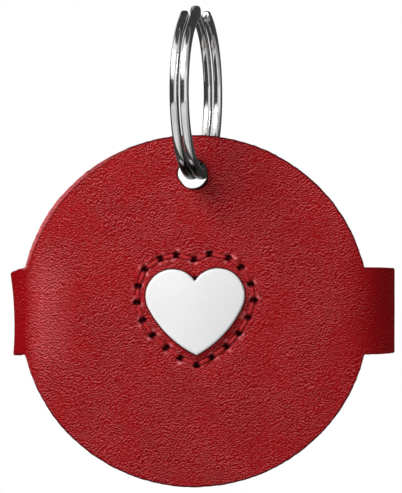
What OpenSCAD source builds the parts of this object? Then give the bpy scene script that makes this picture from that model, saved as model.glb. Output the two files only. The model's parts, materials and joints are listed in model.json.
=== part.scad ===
// Round leather tracker tag on a split ring.
// The origin is the hanging point, inside the top of the ring.
// +Z is up, the front faces -Y and +X is to the right as the tag is looked at.

/* [Leather] */
// Diameter of the round front
disc_d = 60; // [56:0.5:64]
// Thickness of the leather
leather_t = 1.5; // [1.2:0.1:1.8]
// Height of the strap tabs at both sides
tab_h = 14.8; // [12:0.2:17]
// How far the left bend stands out past the disc's edge
tab_out_left = 1.1; // [0.5:0.1:3]
// How far the right bend stands out past the disc's edge
tab_out_right = 4.05; // [2:0.05:6]
// Radius of the corner between the disc and a tab
tab_corner_r = 1.2; // [0.8:0.1:1.6]
// Diameter of the punched ring hole
ring_hole_d = 5; // [4.8:0.1:5.4]
// Distance from the disc's edge to the middle of the ring hole
hole_to_edge = 6.6; // [6:0.1:7]
// Diameter of the patch behind the heart
lining_d = 27; // [25:0.5:30]
// Thickness of the patch behind the heart
lining_t = 0.5; // [0.3:0.1:0.8]

/* [Heart button] */
// Radius of a lobe of the heart
lobe_r = 4.6; // [4.3:0.1:4.9]
// Sideways distance from the middle to a lobe's centre
lobe_x = 3.9; // [3.6:0.1:4.1]
// Height of the lobes' centres above the disc's centre
lobe_z = 2.7; // [2.2:0.1:3]
// Radius of the heart's lower sides
side_r = 24; // [18:1:32]
// Depth of the heart's tip below the disc's centre
tip_drop = 7.6; // [7.2:0.1:8]
// Angle that the heart and its seam are turned anticlockwise, seen from the front
heart_tilt = 1.5; // [0:0.5:4]
// How far the heart stands proud of the leather
heart_proud = 1.2; // [0.9:0.1:1.6]
// Radius of the heart's rounded rim
heart_rim_r = 0.9; // [0.5:0.1:1]
// Rise of the heart's face from its rim to its middle
heart_crown = 0.2; // [0.1:0.05:0.3]
// Gap between the heart and the leather
heart_gap = 0.25; // [0.15:0.05:0.4]
// Gap between the heart and the case
button_clear = 0.15; // [0.1:0.05:0.25]
// How far the button's flange reaches past the heart
flange_out = 0.8; // [0.6:0.1:1]
// Thickness of the button's flange
flange_t = 0.6; // [0.5:0.1:0.8]
// Thickness of the seal in front of the flange
button_seal_t = 0.3; // [0.2:0.1:0.5]
// Diameter of the foot that presses the switch
foot_d = 3.2; // [2.6:0.2:4]
// Height of the foot that presses the switch
foot_h = 0.1; // [0.1:0.05:0.3]
// Travel of the button
press_travel = 0.3; // [0.2:0.05:0.3]

/* [Stitching] */
// Number of stitches round the heart
stitch_count = 20; // [16:2:22]
// Distance from the heart to the seam
seam_gap = 2; // [1.7:0.1:2.3]
// Diameter of the thread
thread_d = 0.5; // [0.4:0.02:0.52]
// Diameter of a stitch hole
stitch_hole_d = 1.3; // [1.25:0.05:1.4]

/* [Split ring] */
// Outer diameter of the ring
ring_od = 30; // [28:0.5:32]
// Wire size across the ring's radius
wire_radial = 2; // [1.8:0.1:2.1]
// Wire size along the ring's axis
wire_axial = 1.25; // [1:0.05:1.3]
// Gap between the two turns
turn_gap = 0.45; // [0.42:0.01:0.5]
// Angle that the ring is turned about the vertical
ring_yaw = 10.6; // [0:0.1:14]
// Angle from the top to the middle of the step between the turns
step_at = 15; // [0:1:30]
// Angle that the step between the turns takes
step_span = 30; // [24:1:40]
// Angle between the step and each wire end
end_room = 4; // [3:0.5:8]

/* [Tracker case] */
// Diameter of the case
case_d = 39; // [38.5:0.25:40]
// Thickness of the case's side wall
case_wall = 1.2; // [1:0.1:1.3]
// Thickness of the case's front and back
case_face = 1; // [0.9:0.1:1.3]
// Radius of the case's rounded edges
case_edge_r = 1.1; // [0.6:0.1:1.2]
// Thickness of the gasket between the two halves
gasket_t = 0.4; // [0.3:0.1:0.6]
// Distance from the case's edge to the screws
screw_inset = 3.2; // [3:0.1:3.3]
// Angle of the upper screws above the horizontal
upper_screw_a = 33; // [28:1:38]
// Angle of the lower screws below the horizontal
lower_screw_a = 20; // [17:1:24]
// Diameter of a screw's shank
screw_d = 1.5; // [1.4:0.05:1.6]
// Diameter of a screw's head
screw_head_d = 2.7; // [2.4:0.1:2.8]
// Height of a screw's head
screw_head_h = 0.7; // [0.5:0.1:0.8]
// Diameter of a sound hole
sound_hole_d = 0.9; // [0.6:0.1:1.1]
// Distance between sound holes
sound_pitch = 1.8; // [1.5:0.1:2]

/* [Electronics] */
// Gap between the circuit board and the case's wall
board_gap = 0.7; // [0.5:0.1:1.2]
// Thickness of the circuit board
board_t = 0.8; // [0.6:0.1:1]
// Width of the switch
switch_w = 4.5; // [4:0.1:5]
// Height of the switch body
switch_h = 0.8; // [0.7:0.1:1.2]
// Diameter of the switch plunger
plunger_d = 2.1; // [1.8:0.1:2.4]
// How far the plunger stands out of the switch at rest
plunger_out = 0.4; // [0.4:0.05:0.6]
// Width of the radio's shield
radio_w = 8; // [7:0.5:9]
// Length of the radio's shield
radio_l = 6; // [5:0.5:6.5]
// Height of the radio's shield
radio_h = 1.4; // [1:0.1:1.6]
// Length of the antenna
antenna_l = 5; // [4:0.5:6]
// Side of the sounder
sounder_w = 6.5; // [6:0.1:7]
// Height of the sounder
sounder_h = 1.9; // [1.5:0.1:2.2]

/* [Battery] */
// Diameter of the coin cell
cell_d = 20; // [19.8:0.1:20.2]
// Height of the coin cell
cell_h = 3.2; // [2.8:0.1:3.4]
// Gap between the door's lugs and the case's wall
lug_gap = 1.1; // [0.8:0.1:1.4]
// Thickness of the contacts
contact_t = 0.25; // [0.2:0.05:0.3]
// Wall of the ring that holds the cell
cradle_wall = 0.95; // [0.7:0.05:1]
// Thickness of the pad inside the door
pad_t = 0.25; // [0.2:0.05:0.4]
// Angle from locked to open on the door
door_turn = 30; // [28:1:36]
// Angle that one lug of the door takes
lug_span = 24; // [18:1:26]
// How far the lugs reach past the door
lug_out = 0.9; // [0.7:0.1:1]

/* [Snap fastener] */
// Sideways place of the snap
snap_x = -2; // [-5:0.5:1]
// Diameter of the outer cap
cap_d = 10; // [9:0.5:12]
// Height of the outer cap
cap_h = 0.9; // [0.7:0.1:1.2]
// Diameter of the socket
socket_d = 8; // [7:0.5:9]
// Thickness of the socket
socket_t = 0.85; // [0.8:0.05:1.1]
// Diameter of the stud's and the post's flanges
stud_d = 7.4; // [6:0.2:8]
// Thickness of the stud's flange
stud_t = 0.4; // [0.3:0.1:0.6]
// Diameter of the stud's knob
knob_d = 3.4; // [3.2:0.1:3.6]
// Diameter of the rivet shanks
shank_d = 2.4; // [2:0.1:2.5]
// Thickness of the post's flange
post_t = 0.5; // [0.4:0.1:0.7]

/* [Hidden] */
$fn = 64;
// Longer than anything here, and how far a cut runs past the face that it opens
far = 100;
past = 1;

// Clearances
eps = 0.01;
fit_clear = 0.05;
slide_clear = 0.05;
run_clear = 0.15;
door_clear = 0.2;
hole_clear = 0.1;
knob_clear = 0.25;

// Heights, from the hanging point down
ring_r = (ring_od - wire_radial) / 2;
ring_z = -(ring_od / 2 - wire_radial);
hole_z = ring_z - ring_r;
disc_r = disc_d / 2;
hole_up = disc_r - hole_to_edge;
disc_z = hole_z - hole_up;

// Depths, from the front of the leather to the back of the strap
thread_r = thread_d / 2;
front_y = -leather_t / 2;
leather_back_y = leather_t / 2;
lining_back_y = leather_back_y + lining_t;
case_front_y = lining_back_y + thread_d + 2 * fit_clear;
case_inner_y = case_front_y + case_face;
flange_front_y = case_inner_y + button_seal_t;
flange_back_y = flange_front_y + flange_t;
plunger_tip_y = flange_back_y + foot_h;
switch_front_y = plunger_tip_y + plunger_out;
board_front_y = switch_front_y + switch_h;
board_back_y = board_front_y + board_t;
cell_front_y = board_back_y + contact_t;
cell_back_y = cell_front_y + cell_h;
back_inner_y = cell_back_y + pad_t;
case_back_y = back_inner_y + case_face;
post_front_y = case_back_y + run_clear;
wing_front_y = post_front_y + post_t;
wing_back_y = wing_front_y + leather_t;
socket_front_y = wing_back_y + stud_t + run_clear;
flap_front_y = socket_front_y + socket_t;
flap_back_y = flap_front_y + leather_t;
heart_face_y = front_y - heart_proud;

// Bends of the strap
bend_left_r = (wing_back_y - front_y) / 2;
bend_right_r = (flap_back_y - front_y) / 2;
bend_left_x = -(disc_r + tab_out_left - bend_left_r);
bend_right_x = disc_r + tab_out_right - bend_right_r;

// Heart outline: each lower side is an arc that runs smoothly into its lobe
function dir(a) = [cos(a), sin(a)];
lobe_c = [lobe_x, lobe_z];
tip = [0, -tip_drop];
to_tip = tip - lobe_c;
side_reach = side_r - lobe_r;
side_turn = acos((side_r ^ 2 - side_reach ^ 2 - to_tip * to_tip) / (2 * side_reach * norm(to_tip)));
side_a = atan2(to_tip.y, to_tip.x) + side_turn;
side_c = lobe_c - side_reach * dir(side_a);
function notch_a(grow) = acos(-lobe_x / (lobe_r + grow));
tip_a = -acos(-side_c.x / side_r);
function mirrored(p) = [-p.x, p.y];
function tilted(p) = p.x * dir(heart_tilt) + p.y * dir(heart_tilt + 90);

// Points on the heart, from the notch round the right side to the tip and back up the left side
lobe_steps = 12;
side_steps = 8;
half_heart = concat(
    [for (i = [0:lobe_steps - 1])
        lobe_c + lobe_r * dir(notch_a(0) + (side_a - notch_a(0)) * i / lobe_steps)],
    [for (i = [0:side_steps]) side_c + side_r * dir(side_a + (tip_a - side_a) * i / side_steps)]);
half_count = len(half_heart);
heart_points = [
    for (p = half_heart) tilted(p),
    for (i = [1:half_count - 2]) tilted(mirrored(half_heart[half_count - 1 - i]))];

// Points on the seam, evenly spaced from above the notch
deg = 180 / PI;
seam_lobe_r = lobe_r + seam_gap;
seam_side_r = side_r + seam_gap;
seam_lobe_l = seam_lobe_r * (notch_a(seam_gap) - side_a) / deg;
seam_side_l = seam_side_r * (side_a - tip_a) / deg;
seam_half_l = seam_lobe_l + seam_side_l + seam_gap * (tip_a + 90) / deg;
function seam_half(s) = let (on_side = s - seam_lobe_l, on_tip = on_side - seam_side_l)
    on_side < 0 ? lobe_c + seam_lobe_r * dir(notch_a(seam_gap) - s / seam_lobe_r * deg) :
    on_tip < 0 ? side_c + seam_side_r * dir(side_a - on_side / seam_side_r * deg) :
    tip + seam_gap * dir(tip_a - on_tip / seam_gap * deg);
function seam_point(i) = let (s = (i % stitch_count) * 2 * seam_half_l / stitch_count)
    tilted(s <= seam_half_l ? seam_half(s) : mirrored(seam_half(2 * seam_half_l - s)));

// Small sizes of the fastenings
cap_rim = 0.3;
socket_floor_t = 0.15;
socket_floor_y = flap_front_y - socket_floor_t;
knob_wall = 0.3;
leg_share = 1.35;
elbow_share = 1.3;
boss_wall = 0.75;
boss_shoulder = 0.8;
back_boss_more = 0.6;
boss_floor = 0.5;
boss_past_board = 1.65;
seam_past_board = 0.15;
gasket_set_in = 0.2;
gasket_lap = 0.1;
drive_w = 0.35;
drive_share = 0.6;
screw_past_board = 1;

// Small sizes inside the case
skirt_h = 0.7;
slot_l = 13;
slot_w = 1.6;
slot_deep = 0.5;
notch_room = 2;
cell_step = 1.3;
cell_step_t = 0.3;
contact_w = 3;
contact_l = 9;
contact_foot_l = 1.5;
cradle_slot_room = 1;
cradle_slot_w = contact_w + cradle_slot_room;
pad_out_inset = 1.5;
pad_in_inset = 5;
sounder_room = 0.9;
sounder_port_r = 0.8;
sounder_port_deep = 0.6;
sounder_frame = 1.25;
radio_room = 1.2;
antenna_inset = 2.6;
antenna_w = 1.6;
antenna_h = 1.2;
crystal_size = [2.5, 2, 0.7];
crystal_room = 3.2;
capacitor_size = [1, 0.5, 0.55];
capacitor_room = 1.6;
capacitor_pitch = 1.5;
capacitor_count = 4;

// Places inside the case
case_r = case_d / 2;
cavity_r = case_r - case_wall;
case_seam_y = board_back_y + seam_past_board;
boss_top_y = board_back_y + boss_past_board;
boss_r = screw_d / 2 + boss_wall;
boss_foot_r = boss_r + boss_shoulder;
back_boss_r = boss_r + back_boss_more;
screw_ring_r = case_r - screw_inset;
screw_angles = [upper_screw_a, 180 - upper_screw_a, 180 + lower_screw_a, -lower_screw_a];
screw_seat_y = case_back_y - screw_head_h - hole_clear;
screw_tip_y = board_front_y - screw_past_board;
board_r = cavity_r - board_gap;
cell_r = cell_d / 2;
cradle_in_r = cell_r + run_clear;
cradle_out_r = cradle_in_r + cradle_wall;
skirt_in_r = cradle_in_r + door_clear;
door_r = cradle_out_r + door_clear;
door_hole_r = door_r + door_clear;
lug_r = door_r + lug_out;
cell_drop = cavity_r - lug_gap - lug_r;
cell_at = [0, -cell_drop];
skirt_front_y = back_inner_y - skirt_h;
lug_back_y = back_inner_y - run_clear;
cradle_back_y = skirt_front_y - door_clear;
lug_angles = [45, 165, 285];
sounder_at = [0, cradle_out_r - cell_drop + sounder_room + sounder_w / 2];
radio_at = [0, -(tip_drop + flange_out + radio_room + radio_l / 2)];
antenna_at = [0, board_r - antenna_inset];
crystal_at = [radio_w / 2 + crystal_room, radio_at.y];
capacitor_x = -(radio_w / 2 + capacitor_room);

// Split ring wire
wire_sides = 8;
steps_per_turn = 36;
turn_half = (wire_axial + turn_gap) / 2;
wire_start = step_at + step_span / 2 + end_room;
wire_sweep = 720 - step_span - 2 * end_room;
wire_step = 360 / steps_per_turn;
wire_rings = floor(wire_sweep / wire_step);
wire_square = 0.62;
function ease(t) = let (c = min(max(t, 0), 1)) c * c * (3 - 2 * c);
function wire_side_x(a) = turn_half * (2 * ease((a - (360 + step_at - step_span / 2)) / step_span) - 1);
function rounded(c) = sign(c) * pow(abs(c), wire_square);
function wire_ring(a) = [for (k = [0:wire_sides - 1]) let (
        b = k * 360 / wire_sides,
        r = ring_r + wire_radial / 2 * rounded(sin(b)))
    [wire_side_x(a) + wire_axial / 2 * rounded(cos(b)), -r * sin(a), r * cos(a)]];
wire_points = [for (i = [0:wire_rings]) wire_ring(wire_start + wire_step * i)];
near_steps = 4;
wire_gap = min([for (i = [0:wire_rings])
    for (j = [i + steps_per_turn - near_steps:1:min(i + steps_per_turn + near_steps, wire_rings)])
        for (p = wire_points[i], q = wire_points[j]) norm(p - q)]);
echo(str("Least gap between the turns of the split ring: ", wire_gap, " mm"));

// Side faces between rings of n points, and a fan or a flat face at each end
function side_faces(rings, n) = [for (i = [0:rings - 2], k = [0:n - 1], half = [0, 1]) let (
        a = i * n + k, b = i * n + (k + 1) % n)
    half == 0 ? [a, b, b + n] : [a, b + n, a + n]];

leather_red = [0.70, 0.11, 0.14];
flesh_red = [0.52, 0.14, 0.14];
thread_red = [0.62, 0.07, 0.10];
steel = [0.75, 0.76, 0.78];
shell_white = [0.93, 0.93, 0.92];
seal_grey = [0.35, 0.36, 0.38];
board_green = [0.08, 0.30, 0.20];
gold = [0.83, 0.66, 0.30];
black = [0.10, 0.10, 0.11];

// Puts a shape that is drawn about the disc's centre in its place below the ring
module on_tag() {
    translate([0, 0, disc_z]) children();
}

// A flat outline, in X and Z, made solid from one depth to another
module slab(from_y, to_y) {
    translate([0, to_y, 0]) rotate([90, 0, 0]) linear_extrude(to_y - from_y) children();
}

// A round bar along Y
module bar(at, r, from_y, to_y) {
    slab(from_y, to_y) translate(at) circle(r);
}

// A profile in radius and depth, turned about an axis along Y
module turned(at = [0, 0]) {
    translate([at.x, 0, at.y]) rotate([-90, 0, 0]) rotate_extrude() children();
}

// A block that stands on the board, as wide and long as it is given
module chip(at, w, l, from_y, to_y) {
    slab(from_y, to_y) translate(at) square([w, l], center = true);
}

module heart(grow = 0) {
    rotate(heart_tilt) {
        for (side = [-1, 1])
            translate([side * lobe_x, lobe_z]) circle(lobe_r + grow);
        intersection() {
            translate(side_c) circle(side_r + grow);
            translate(mirrored(side_c)) circle(side_r + grow);
            polygon([
                mirrored(lobe_c), lobe_c, lobe_c + far * dir(side_a),
                [0, -2 * far], mirrored(lobe_c + far * dir(side_a))]);
        }
    }
}

module seam_holes() {
    for (i = [0:stitch_count - 1])
        translate(seam_point(i)) circle(stitch_hole_d / 2);
}

// Quarter of a bent sheet, with its hollow towards the bend's axis
module quarter_bend(at, r, quarter) {
    translate(at) rotate(90 * quarter) intersection() {
        difference() {
            circle(r);
            circle(r - leather_t);
        }
        square(r);
    }
}

// Rounded inner corner between the disc and the right tab's upper edge
module tab_corner() {
    c = [sqrt((disc_r + tab_corner_r) ^ 2 - (tab_h / 2 + tab_corner_r) ^ 2), tab_h / 2 + tab_corner_r];
    difference() {
        polygon([[c.x - 2 * tab_corner_r, 0], [c.x, 0], c, c * disc_r / (disc_r + tab_corner_r)]);
        translate(c) circle(tab_corner_r);
    }
}

module front_outline() {
    circle(disc_r);
    translate([-far, -tab_h / 2]) square([2 * far, tab_h]);
    for (sx = [0, 1], sz = [0, 1])
        mirror([sx, 0]) mirror([0, sz]) tab_corner();
}

// Strap tongue with a round end, from a bend to the snap
module tongue_outline(root_x) {
    translate([min(root_x, snap_x), -tab_h / 2]) square([abs(root_x - snap_x), tab_h]);
    translate([snap_x, 0]) circle(tab_h / 2);
}

module front_sheet() {
    intersection() {
        translate([0, 0, -disc_r]) linear_extrude(disc_d) {
            translate([bend_left_x, front_y]) square([bend_right_x - bend_left_x, leather_t]);
            quarter_bend([bend_left_x, front_y + bend_left_r], bend_left_r, 2);
            quarter_bend([bend_right_x, front_y + bend_right_r], bend_right_r, 3);
        }
        slab(-far, far) front_outline();
    }
}

module rear_bends() {
    translate([0, 0, -tab_h / 2]) linear_extrude(tab_h) {
        quarter_bend([bend_left_x, front_y + bend_left_r], bend_left_r, 1);
        quarter_bend([bend_right_x, front_y + bend_right_r], bend_right_r, 0);
    }
}

module front_leather() {
    color(leather_red) on_tag() difference() {
        union() {
            front_sheet();
            rear_bends();
            slab(wing_front_y, wing_back_y) tongue_outline(bend_left_x);
        }
        bar([0, hole_up], ring_hole_d / 2, front_y - past, leather_back_y + past);
        slab(front_y - past, leather_back_y + past) {
            heart(heart_gap);
            seam_holes();
        }
        bar([snap_x, 0], shank_d / 2 + fit_clear, wing_front_y - past, wing_back_y + past);
    }
}

module strap_flap() {
    color(leather_red) on_tag() difference() {
        slab(flap_front_y, flap_back_y) tongue_outline(bend_right_x);
        bar([snap_x, 0], shank_d / 2 + fit_clear, flap_front_y - past, flap_back_y + past);
    }
}

module heart_lining() {
    color(flesh_red) on_tag() slab(leather_back_y, lining_back_y) difference() {
        circle(lining_d / 2);
        heart(heart_gap);
        seam_holes();
    }
}

// One stitch along X: a run on the surface, an elbow and a leg down at each end
module stitch(run_l, leg_l) {
    bend = elbow_share * thread_r;
    lift = thread_r + fit_clear;
    translate([bend, 0, lift]) rotate([0, 90, 0]) cylinder(r = thread_r, h = run_l - 2 * bend);
    for (end = [0, 1]) translate([end * run_l, 0, 0]) mirror([end, 0, 0]) {
        translate([bend, 0, lift - bend]) rotate([90, 0, 0]) rotate([0, 0, 90])
            rotate_extrude(angle = 90) translate([bend, 0]) circle(thread_r);
        translate([0, 0, -leg_l]) cylinder(r = thread_r, h = leg_l + lift - bend);
    }
}

// The ring of stitches on one face: side is -1 at the front and 1 at the back
module stitches(surface_y, side) {
    leg_at = leg_share * thread_r;
    leg_l = (lining_back_y - front_y) / 2 - fit_clear;
    for (i = [0:stitch_count - 1]) {
        p = seam_point(i);
        run = seam_point(i + 1) - p;
        start = p + leg_at * run / norm(run);
        translate([start.x, surface_y, start.y]) rotate([0, -atan2(run.y, run.x), 0])
            rotate([-90 * side, 0, 0]) stitch(norm(run) - 2 * leg_at, leg_l);
    }
}

module front_stitches() {
    color(thread_red) on_tag() stitches(front_y, -1);
}

module back_stitches() {
    color(thread_red) on_tag() stitches(lining_back_y, 1);
}

module split_ring() {
    ends = [
        [for (k = [0:wire_sides - 1]) wire_sides - 1 - k],
        [for (k = [0:wire_sides - 1]) wire_rings * wire_sides + k]];
    color(steel) translate([0, 0, ring_z]) rotate([0, 0, -ring_yaw]) polyhedron(
        points = [for (ring = wire_points, p = ring) p],
        faces = concat(side_faces(wire_rings + 1, wire_sides), ends));
}

module snap_cap() {
    dome_h = cap_h - cap_rim;
    dome_r = (cap_d ^ 2 / 4 + dome_h ^ 2) / (2 * dome_h);
    color(steel) on_tag() {
        turned([snap_x, 0]) intersection() {
            translate([0, flap_back_y]) square([cap_d / 2, cap_h]);
            translate([0, flap_back_y + cap_h - dome_r]) circle(dome_r, $fn = 360);
        }
        bar([snap_x, 0], shank_d / 2, socket_floor_y, flap_back_y + eps);
    }
}

module snap_socket() {
    color(steel) on_tag() difference() {
        bar([snap_x, 0], socket_d / 2, socket_front_y, flap_front_y);
        bar([snap_x, 0], knob_d / 2 + knob_clear, socket_front_y - past, socket_floor_y);
        bar([snap_x, 0], shank_d / 2 + fit_clear, socket_floor_y - eps, flap_front_y + past);
    }
}

module snap_stud() {
    knob_back_y = socket_floor_y - hole_clear;
    color(steel) on_tag() difference() {
        union() {
            bar([snap_x, 0], stud_d / 2, wing_back_y, wing_back_y + stud_t);
            bar([snap_x, 0], knob_d / 2, wing_back_y, knob_back_y);
        }
        bar([snap_x, 0], shank_d / 2 + fit_clear, wing_back_y - past, knob_back_y - knob_wall);
    }
}

module snap_post() {
    color(steel) on_tag() {
        bar([snap_x, 0], stud_d / 2, post_front_y, wing_front_y);
        bar([snap_x, 0], shank_d / 2, wing_front_y - eps, wing_back_y + stud_t);
    }
}

module heart_cap() {
    rim_steps = 4;
    rim_share = heart_rim_r / (lobe_x + lobe_r);
    inner_share = 0.5;
    root_y = flange_front_y + flange_t / 2;
    // Each layer is a share of the outline and a depth
    layers = concat(
        [[1, root_y]],
        [for (k = [0:rim_steps]) let (a = 90 * k / rim_steps)
            [1 - rim_share * (1 - cos(a)), heart_face_y + heart_crown + heart_rim_r * (1 - sin(a))]],
        [[inner_share, heart_face_y + heart_crown * inner_share ^ 2]]);
    n = len(heart_points);
    last = len(layers) * n;
    polyhedron(
        points = concat(
            [for (l = layers, p = heart_points) [p.x * l[0], l[1], p.y * l[0]]],
            [[0, heart_face_y, 0], [0, root_y, 0]]),
        faces = concat(
            side_faces(len(layers), n),
            [for (k = [0:n - 1]) [last - n + k, last - n + (k + 1) % n, last]],
            [for (k = [0:n - 1]) [(k + 1) % n, k, last + 1]]));
}

module heart_button() {
    color(shell_white) on_tag() {
        heart_cap();
        slab(flange_front_y, flange_back_y) heart(flange_out);
        bar([0, 0], foot_d / 2, flange_back_y - eps, plunger_tip_y);
    }
}

module button_seal() {
    color(seal_grey) on_tag() slab(case_inner_y, flange_front_y) difference() {
        heart(flange_out);
        heart(button_clear + fit_clear);
    }
}

// Half of the case as a profile in radius and depth, with a rounded outer edge at its closed end
module cup_profile(open_y, closed_y, inner_y) {
    way = sign(closed_y - open_y);
    edge_y = closed_y - way * case_edge_r;
    difference() {
        union() {
            translate([0, min(open_y, edge_y)]) square([case_r, abs(edge_y - open_y)]);
            translate([0, min(edge_y, closed_y)]) square([case_r - case_edge_r, case_edge_r]);
            intersection() {
                translate([case_r - case_edge_r, edge_y]) circle(case_edge_r);
                translate([case_r - case_edge_r, min(edge_y, closed_y)]) square(case_edge_r);
            }
        }
        translate([-past, min(open_y - way * past, inner_y)])
            square([cavity_r + past, abs(inner_y - open_y) + past]);
    }
}

module at_screws() {
    for (a = screw_angles) translate([screw_ring_r * cos(a), 0, screw_ring_r * sin(a)]) children();
}

module front_housing() {
    color(shell_white) on_tag() difference() {
        union() {
            turned() cup_profile(case_seam_y, case_front_y, case_inner_y);
            at_screws() {
                bar([0, 0], boss_foot_r, case_inner_y - eps, board_front_y);
                bar([0, 0], boss_r, case_inner_y - eps, boss_top_y);
            }
        }
        slab(case_front_y - past, case_inner_y + past) heart(button_clear);
        at_screws() bar([0, 0], screw_d / 2 + slide_clear, case_inner_y + boss_floor, boss_top_y + past);
    }
}

// Slice of a disc
module sector(mid_a, half_a, r) {
    intersection() {
        circle(r);
        polygon([[0, 0], 2 * r * dir(mid_a - half_a), 2 * r * dir(mid_a + half_a)]);
    }
}

// Openings in the door's rim that let the lugs through
module lug_notches() {
    notch_r = lug_r + door_clear;
    half_a = lug_span / 2 + notch_room;
    for (a = lug_angles) sector(a - door_turn, half_a, notch_r);
}

module rear_housing() {
    color(shell_white) on_tag() difference() {
        union() {
            turned() cup_profile(case_seam_y + gasket_t, case_back_y, back_inner_y);
            at_screws() bar([0, 0], back_boss_r, boss_top_y, back_inner_y + eps);
        }
        slab(back_inner_y - past, case_back_y + past) translate(cell_at) {
            circle(door_hole_r);
            lug_notches();
        }
        at_screws() {
            bar([0, 0], screw_d / 2 + door_clear, boss_top_y - past, screw_seat_y + eps);
            bar([0, 0], screw_head_d / 2 + run_clear, screw_seat_y, case_back_y + past);
        }
        slab(back_inner_y - past, case_back_y + past) translate(sounder_at) {
            circle(sound_hole_d / 2);
            for (a = [0:60:300]) translate(sound_pitch * dir(a)) circle(sound_hole_d / 2);
        }
    }
}

module housing_gasket() {
    color(seal_grey) on_tag() slab(case_seam_y, case_seam_y + gasket_t) difference() {
        circle(case_r - gasket_set_in);
        circle(cavity_r - gasket_lap);
    }
}

module housing_screws() {
    drive_l = drive_share * screw_head_d;
    color(steel) on_tag() at_screws() difference() {
        union() {
            bar([0, 0], screw_head_d / 2, screw_seat_y, screw_seat_y + screw_head_h);
            bar([0, 0], screw_d / 2, screw_tip_y, screw_seat_y + eps);
        }
        slab(screw_seat_y + screw_head_h / 2, case_back_y + past) {
            square([drive_l, drive_w], center = true);
            square([drive_w, drive_l], center = true);
        }
    }
}

module circuit_board() {
    color(board_green) on_tag() difference() {
        bar([0, 0], board_r, board_front_y, board_back_y);
        at_screws() bar([0, 0], boss_r + hole_clear, board_front_y - past, board_back_y + past);
    }
}

module tact_switch() {
    color(black) on_tag() difference() {
        chip([0, 0], switch_w, switch_w, switch_front_y, board_front_y);
        bar([0, 0], plunger_d / 2 + slide_clear, switch_front_y - past, board_front_y - hole_clear);
    }
}

module switch_plunger() {
    color(shell_white) on_tag()
        bar([0, 0], plunger_d / 2, plunger_tip_y, board_front_y - 2 * hole_clear - press_travel);
}

module radio_shield() {
    color(steel) on_tag() chip(radio_at, radio_w, radio_l, board_front_y - radio_h, board_front_y);
}

module chip_antenna() {
    color(shell_white) on_tag()
        chip(antenna_at, antenna_l, antenna_w, board_front_y - antenna_h, board_front_y);
}

module crystal() {
    color(steel) on_tag() chip(crystal_at, crystal_size.x, crystal_size.y,
        board_front_y - crystal_size.z, board_front_y);
}

module capacitors() {
    color(gold) on_tag() for (i = [0:capacitor_count - 1])
        chip([capacitor_x, radio_at.y + (i - (capacitor_count - 1) / 2) * capacitor_pitch],
            capacitor_size.x, capacitor_size.y, board_front_y - capacitor_size.z, board_front_y);
}

module sounder() {
    top_y = board_back_y + sounder_h;
    color(black) on_tag() difference() {
        chip(sounder_at, sounder_w, sounder_w, board_back_y, top_y);
        bar(sounder_at, sounder_port_r, top_y - sounder_port_deep, top_y + past);
    }
}

module sounder_gasket() {
    top_y = board_back_y + sounder_h;
    color(seal_grey) on_tag() slab(top_y, back_inner_y) translate(sounder_at) difference() {
        square(sounder_w, center = true);
        square(sounder_w - 2 * sounder_frame, center = true);
    }
}

module coin_cell() {
    color(steel) on_tag() {
        bar(cell_at, cell_r - cell_step, cell_front_y, cell_front_y + cell_step_t + eps);
        bar(cell_at, cell_r, cell_front_y + cell_step_t, cell_back_y);
    }
}

module cell_cradle() {
    color(black) on_tag() difference() {
        slab(board_back_y, cradle_back_y) translate(cell_at) difference() {
            circle(cradle_out_r);
            circle(cradle_in_r);
        }
        slab(board_back_y - past, cradle_back_y + past) translate(cell_at + [-cradle_out_r, 0])
            square([cradle_out_r, cradle_slot_w], center = true);
    }
}

module positive_contact() {
    blade_x = -(cell_r + fit_clear + contact_t / 2);
    color(gold) on_tag() {
        chip(cell_at + [blade_x, 0], contact_t, contact_w, board_back_y, cradle_back_y);
        chip(cell_at + [blade_x - contact_foot_l / 2, 0], contact_foot_l, contact_w,
            board_back_y, board_back_y + contact_t);
    }
}

module negative_contact() {
    color(gold) on_tag() slab(board_back_y, cell_front_y) translate(cell_at) {
        square([contact_l, contact_w], center = true);
        square([contact_w, contact_l], center = true);
    }
}

module battery_door() {
    color(shell_white) on_tag() difference() {
        union() {
            bar(cell_at, door_r, back_inner_y, case_back_y);
            slab(skirt_front_y, back_inner_y + eps) translate(cell_at) difference() {
                circle(door_r);
                circle(skirt_in_r);
            }
            slab(skirt_front_y, lug_back_y) translate(cell_at) difference() {
                for (a = lug_angles) sector(a, lug_span / 2, lug_r);
                circle(skirt_in_r);
            }
        }
        chip(cell_at, slot_l, slot_w, case_back_y - slot_deep, case_back_y + past);
    }
}

module door_pad() {
    color(seal_grey) on_tag() slab(cell_back_y, back_inner_y) translate(cell_at) difference() {
        circle(cell_r - pad_out_inset);
        circle(cell_r - pad_in_inset);
    }
}

split_ring();
front_leather();
strap_flap();
heart_lining();
front_stitches();
back_stitches();
snap_cap();
snap_socket();
snap_stud();
snap_post();
heart_button();
button_seal();
front_housing();
rear_housing();
housing_gasket();
housing_screws();
circuit_board();
tact_switch();
switch_plunger();
radio_shield();
chip_antenna();
crystal();
capacitors();
sounder();
sounder_gasket();
coin_cell();
cell_cradle();
positive_contact();
negative_contact();
battery_door();
door_pad();
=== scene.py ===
"""Looks of a round leather tracker tag on a split ring, built around its solids."""

import json
import math
import random

import bpy
import numpy as np
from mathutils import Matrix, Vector, geometry, kdtree, noise


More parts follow.
